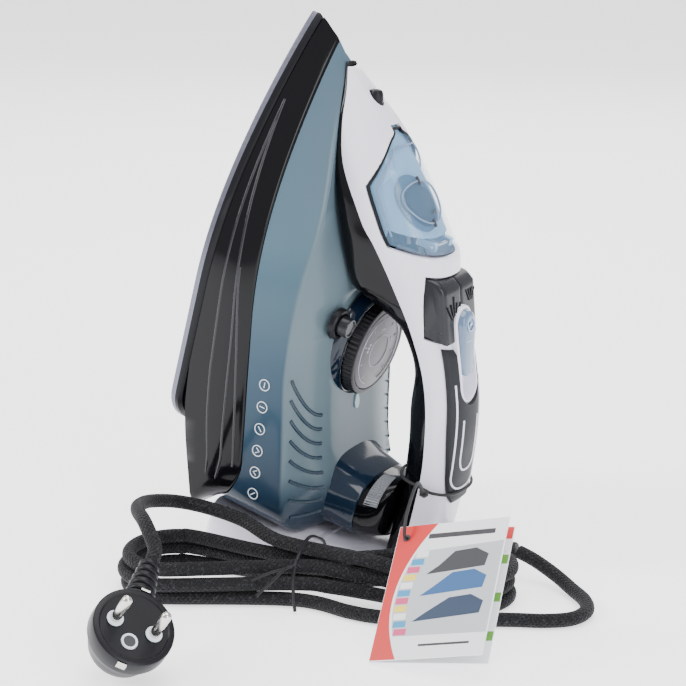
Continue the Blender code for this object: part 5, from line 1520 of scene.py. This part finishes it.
def band_edge(up, shift=0.0):
    """Left edge of the tag's picture, a shallow arc."""
    return 5.0 + shift + 13.5 * abs((up - 32.0) / 40.0) ** 2


def make_tag_leaves():
    full = oblong(0, 0, TAG_WIDTH, TAG_HEIGHT)
    card("tag_leaf_front", full, "card_white", -TAG_THICK, 0.0, replaces=("hang_tag_front",))
    card("tag_leaf_back", full, "card_white", BACK_FACE - TAG_THICK, BACK_FACE, TAG_FAN,
         replaces=("hang_tag_back",))


def make_tag_picture():
    """Red band down the front leaf's left edge, and beside it a grey panel with plain shapes."""
    ups = [i * TAG_HEIGHT / 24 for i in range(25)]
    band = [(0.2, 0.2)] + [(band_edge(u), u) for u in ups] + [(0.2, TAG_HEIGHT - 0.2)]
    card("tag_red_band", band, "card_red", 0.0, 0.06)
    right = TAG_WIDTH - 0.5
    panel = [(band_edge(u, 1.4), max(u, 12.0)) for u in ups if 10.0 <= u <= 62.0]
    card("tag_picture", panel + [(right, 62.0), (right, 12.0)], "card_grey", 0.0, 0.05)
    for number in range(TAG_PRINTS):
        up = 13.0 + TAG_PRINT_PITCH * number
        x = band_edge(up + 1.7, 2.0)
        finish = ("print_pink", "print_cyan", "card_white", "print_yellow")[number % 4]
        card(f"tag_print_{number}", oblong(x, up, x + 6.5, up + 3.4), finish, 0.05, 0.1)
    for number, (up, finish) in enumerate(((46.0, "ink"), (34.0, "print_blue"), (20.0, "print_navy"))):
        nose, heel = 20.0 - number, 50.0 + number
        outline = [(nose, up), (heel, up + 2.5), (heel + 1.0, up + 9.0), (heel - 6.0, up + 13.0),
                   (heel - 17.0, up + 12.0), (nose + 6.0, up + 4.5)]
        card(f"tag_shape_{number}", outline, finish, 0.05 + 0.02 * number, 0.1 + 0.02 * number)


def make_tag():
    right = TAG_WIDTH - 0.3
    make_tag_leaves()
    make_tag_picture()
    card("tag_title_bar", oblong(17.0, 66.5, 52.0, 69.2), "ink", 0.0, 0.05)
    card("tag_foot_bar", oblong(24.0, 6.4, 50.0, 7.6), "ink", 0.0, 0.05)
    head = oblong(0.3, TAG_HEIGHT - 7.0, right, TAG_HEIGHT - 0.3)
    card("tag_back_head", head, "card_red", BACK_FACE, BACK_FACE + 0.06, TAG_FAN)
    for number in range(3):
        up = 12.0 + 21.0 * number
        mark = oblong(TAG_WIDTH - 9.0, up, right, up + 5.0)
        card(f"tag_back_mark_{number}", mark, "print_green", BACK_FACE, BACK_FACE + 0.06, TAG_FAN)
    hole_x, hole_up = TAG_HOLE
    hole = [(hole_x + 2.0 * math.cos(a), hole_up + 2.0 * math.sin(a)) for a in circle(20)]
    card("tag_hole", hole, "ink", 0.06, 0.11)


def make_elastic():
    clear = ELASTIC_R + 0.3
    t = ELASTIC_T
    loop = [on_shell(t, 20.0 + 140.0 * i / 24, PAD_THICK + clear) for i in range(25)]
    half, low = border_half_width(t) + clear, trim_bottom(t) - clear
    loop += [world(t, border(t), -half - 0.6), world(t, 121.5, -half + 1), world(t, low + 0.4, -8),
             world(t, low, 0), world(t, low + 0.4, 8), world(t, 121.5, half - 1),
             world(t, border(t) - 2, half + 0.6)]
    band = sweep("elastic_band", smooth_path(loop, ELASTIC_STEP), ELASTIC_R, sides=12)
    dress(band, "elastic", replaces=("elastic_loop",))
    knot = world(t, border(t) + 6, -half - 4.5)
    near = tag_point(*TAG_HOLE, 3.0)
    path = [knot, knot + Vector((6, -18, 12)) * MM, near + Vector((-3, 8, 8)) * MM, near,
            tag_point(*TAG_HOLE), tag_point(*TAG_HOLE, -3.6)]
    string = sweep("tag_string", smooth_path(path, ELASTIC_STEP), ELASTIC_R, sides=12)
    dress(string, "elastic", replaces=("tag_elastic",))
    turns = [knot + Vector((1.6 * math.cos(a), 1.3 * math.sin(a), 1.2 * math.sin(1.5 * a))) * MM
             for a in circle(24, 25)]
    dress(sweep("elastic_knot", turns, ELASTIC_R, sides=12), "elastic")


# ---------------------------------------------------------------- pieces kept from the CAD

INNER_PIECES = {
    "cast_metal": ("heater_casting", "steam_chamber_cover"),
    "steel": ("heating_element", "thermostat_shaft", "steam_valve_rod", "lid_hinge_pin", "heel_screw_lower",
              "heel_screw_upper"),
    "ceramic": ("thermostat", "indicator_lamp", "thermal_fuse", "terminal_block"),
    "white_gloss": ("steam_pump", "spray_pump", "spray_tube", "swivel_socket"),
    "black_satin": ("cord_swivel",),
    "funnel_blue": ("inlet_funnel",),
    "nickel": ("plug_earth_clip_top", "plug_earth_clip_bottom"),
}


def finish_inner_pieces():
    for finish, names in INNER_PIECES.items():
        for name in names:
            mesh = frame["nodes"][name].data
            if not mesh.materials:
                mesh.materials.append(MATERIALS[finish])
            for i in range(len(mesh.materials)):
                mesh.materials[i] = MATERIALS[finish]


make_tie()
make_plug()
make_cord()
make_soleplate()
make_skirt()
make_tank()
make_shell()
make_trim()
make_rear_cover()
make_heel()
make_grip()
make_lid()
make_lid_details()
make_nozzle()
make_buttons()
make_slider()
make_dial()
make_self_clean()
make_tag()
make_elastic()
finish_inner_pieces()
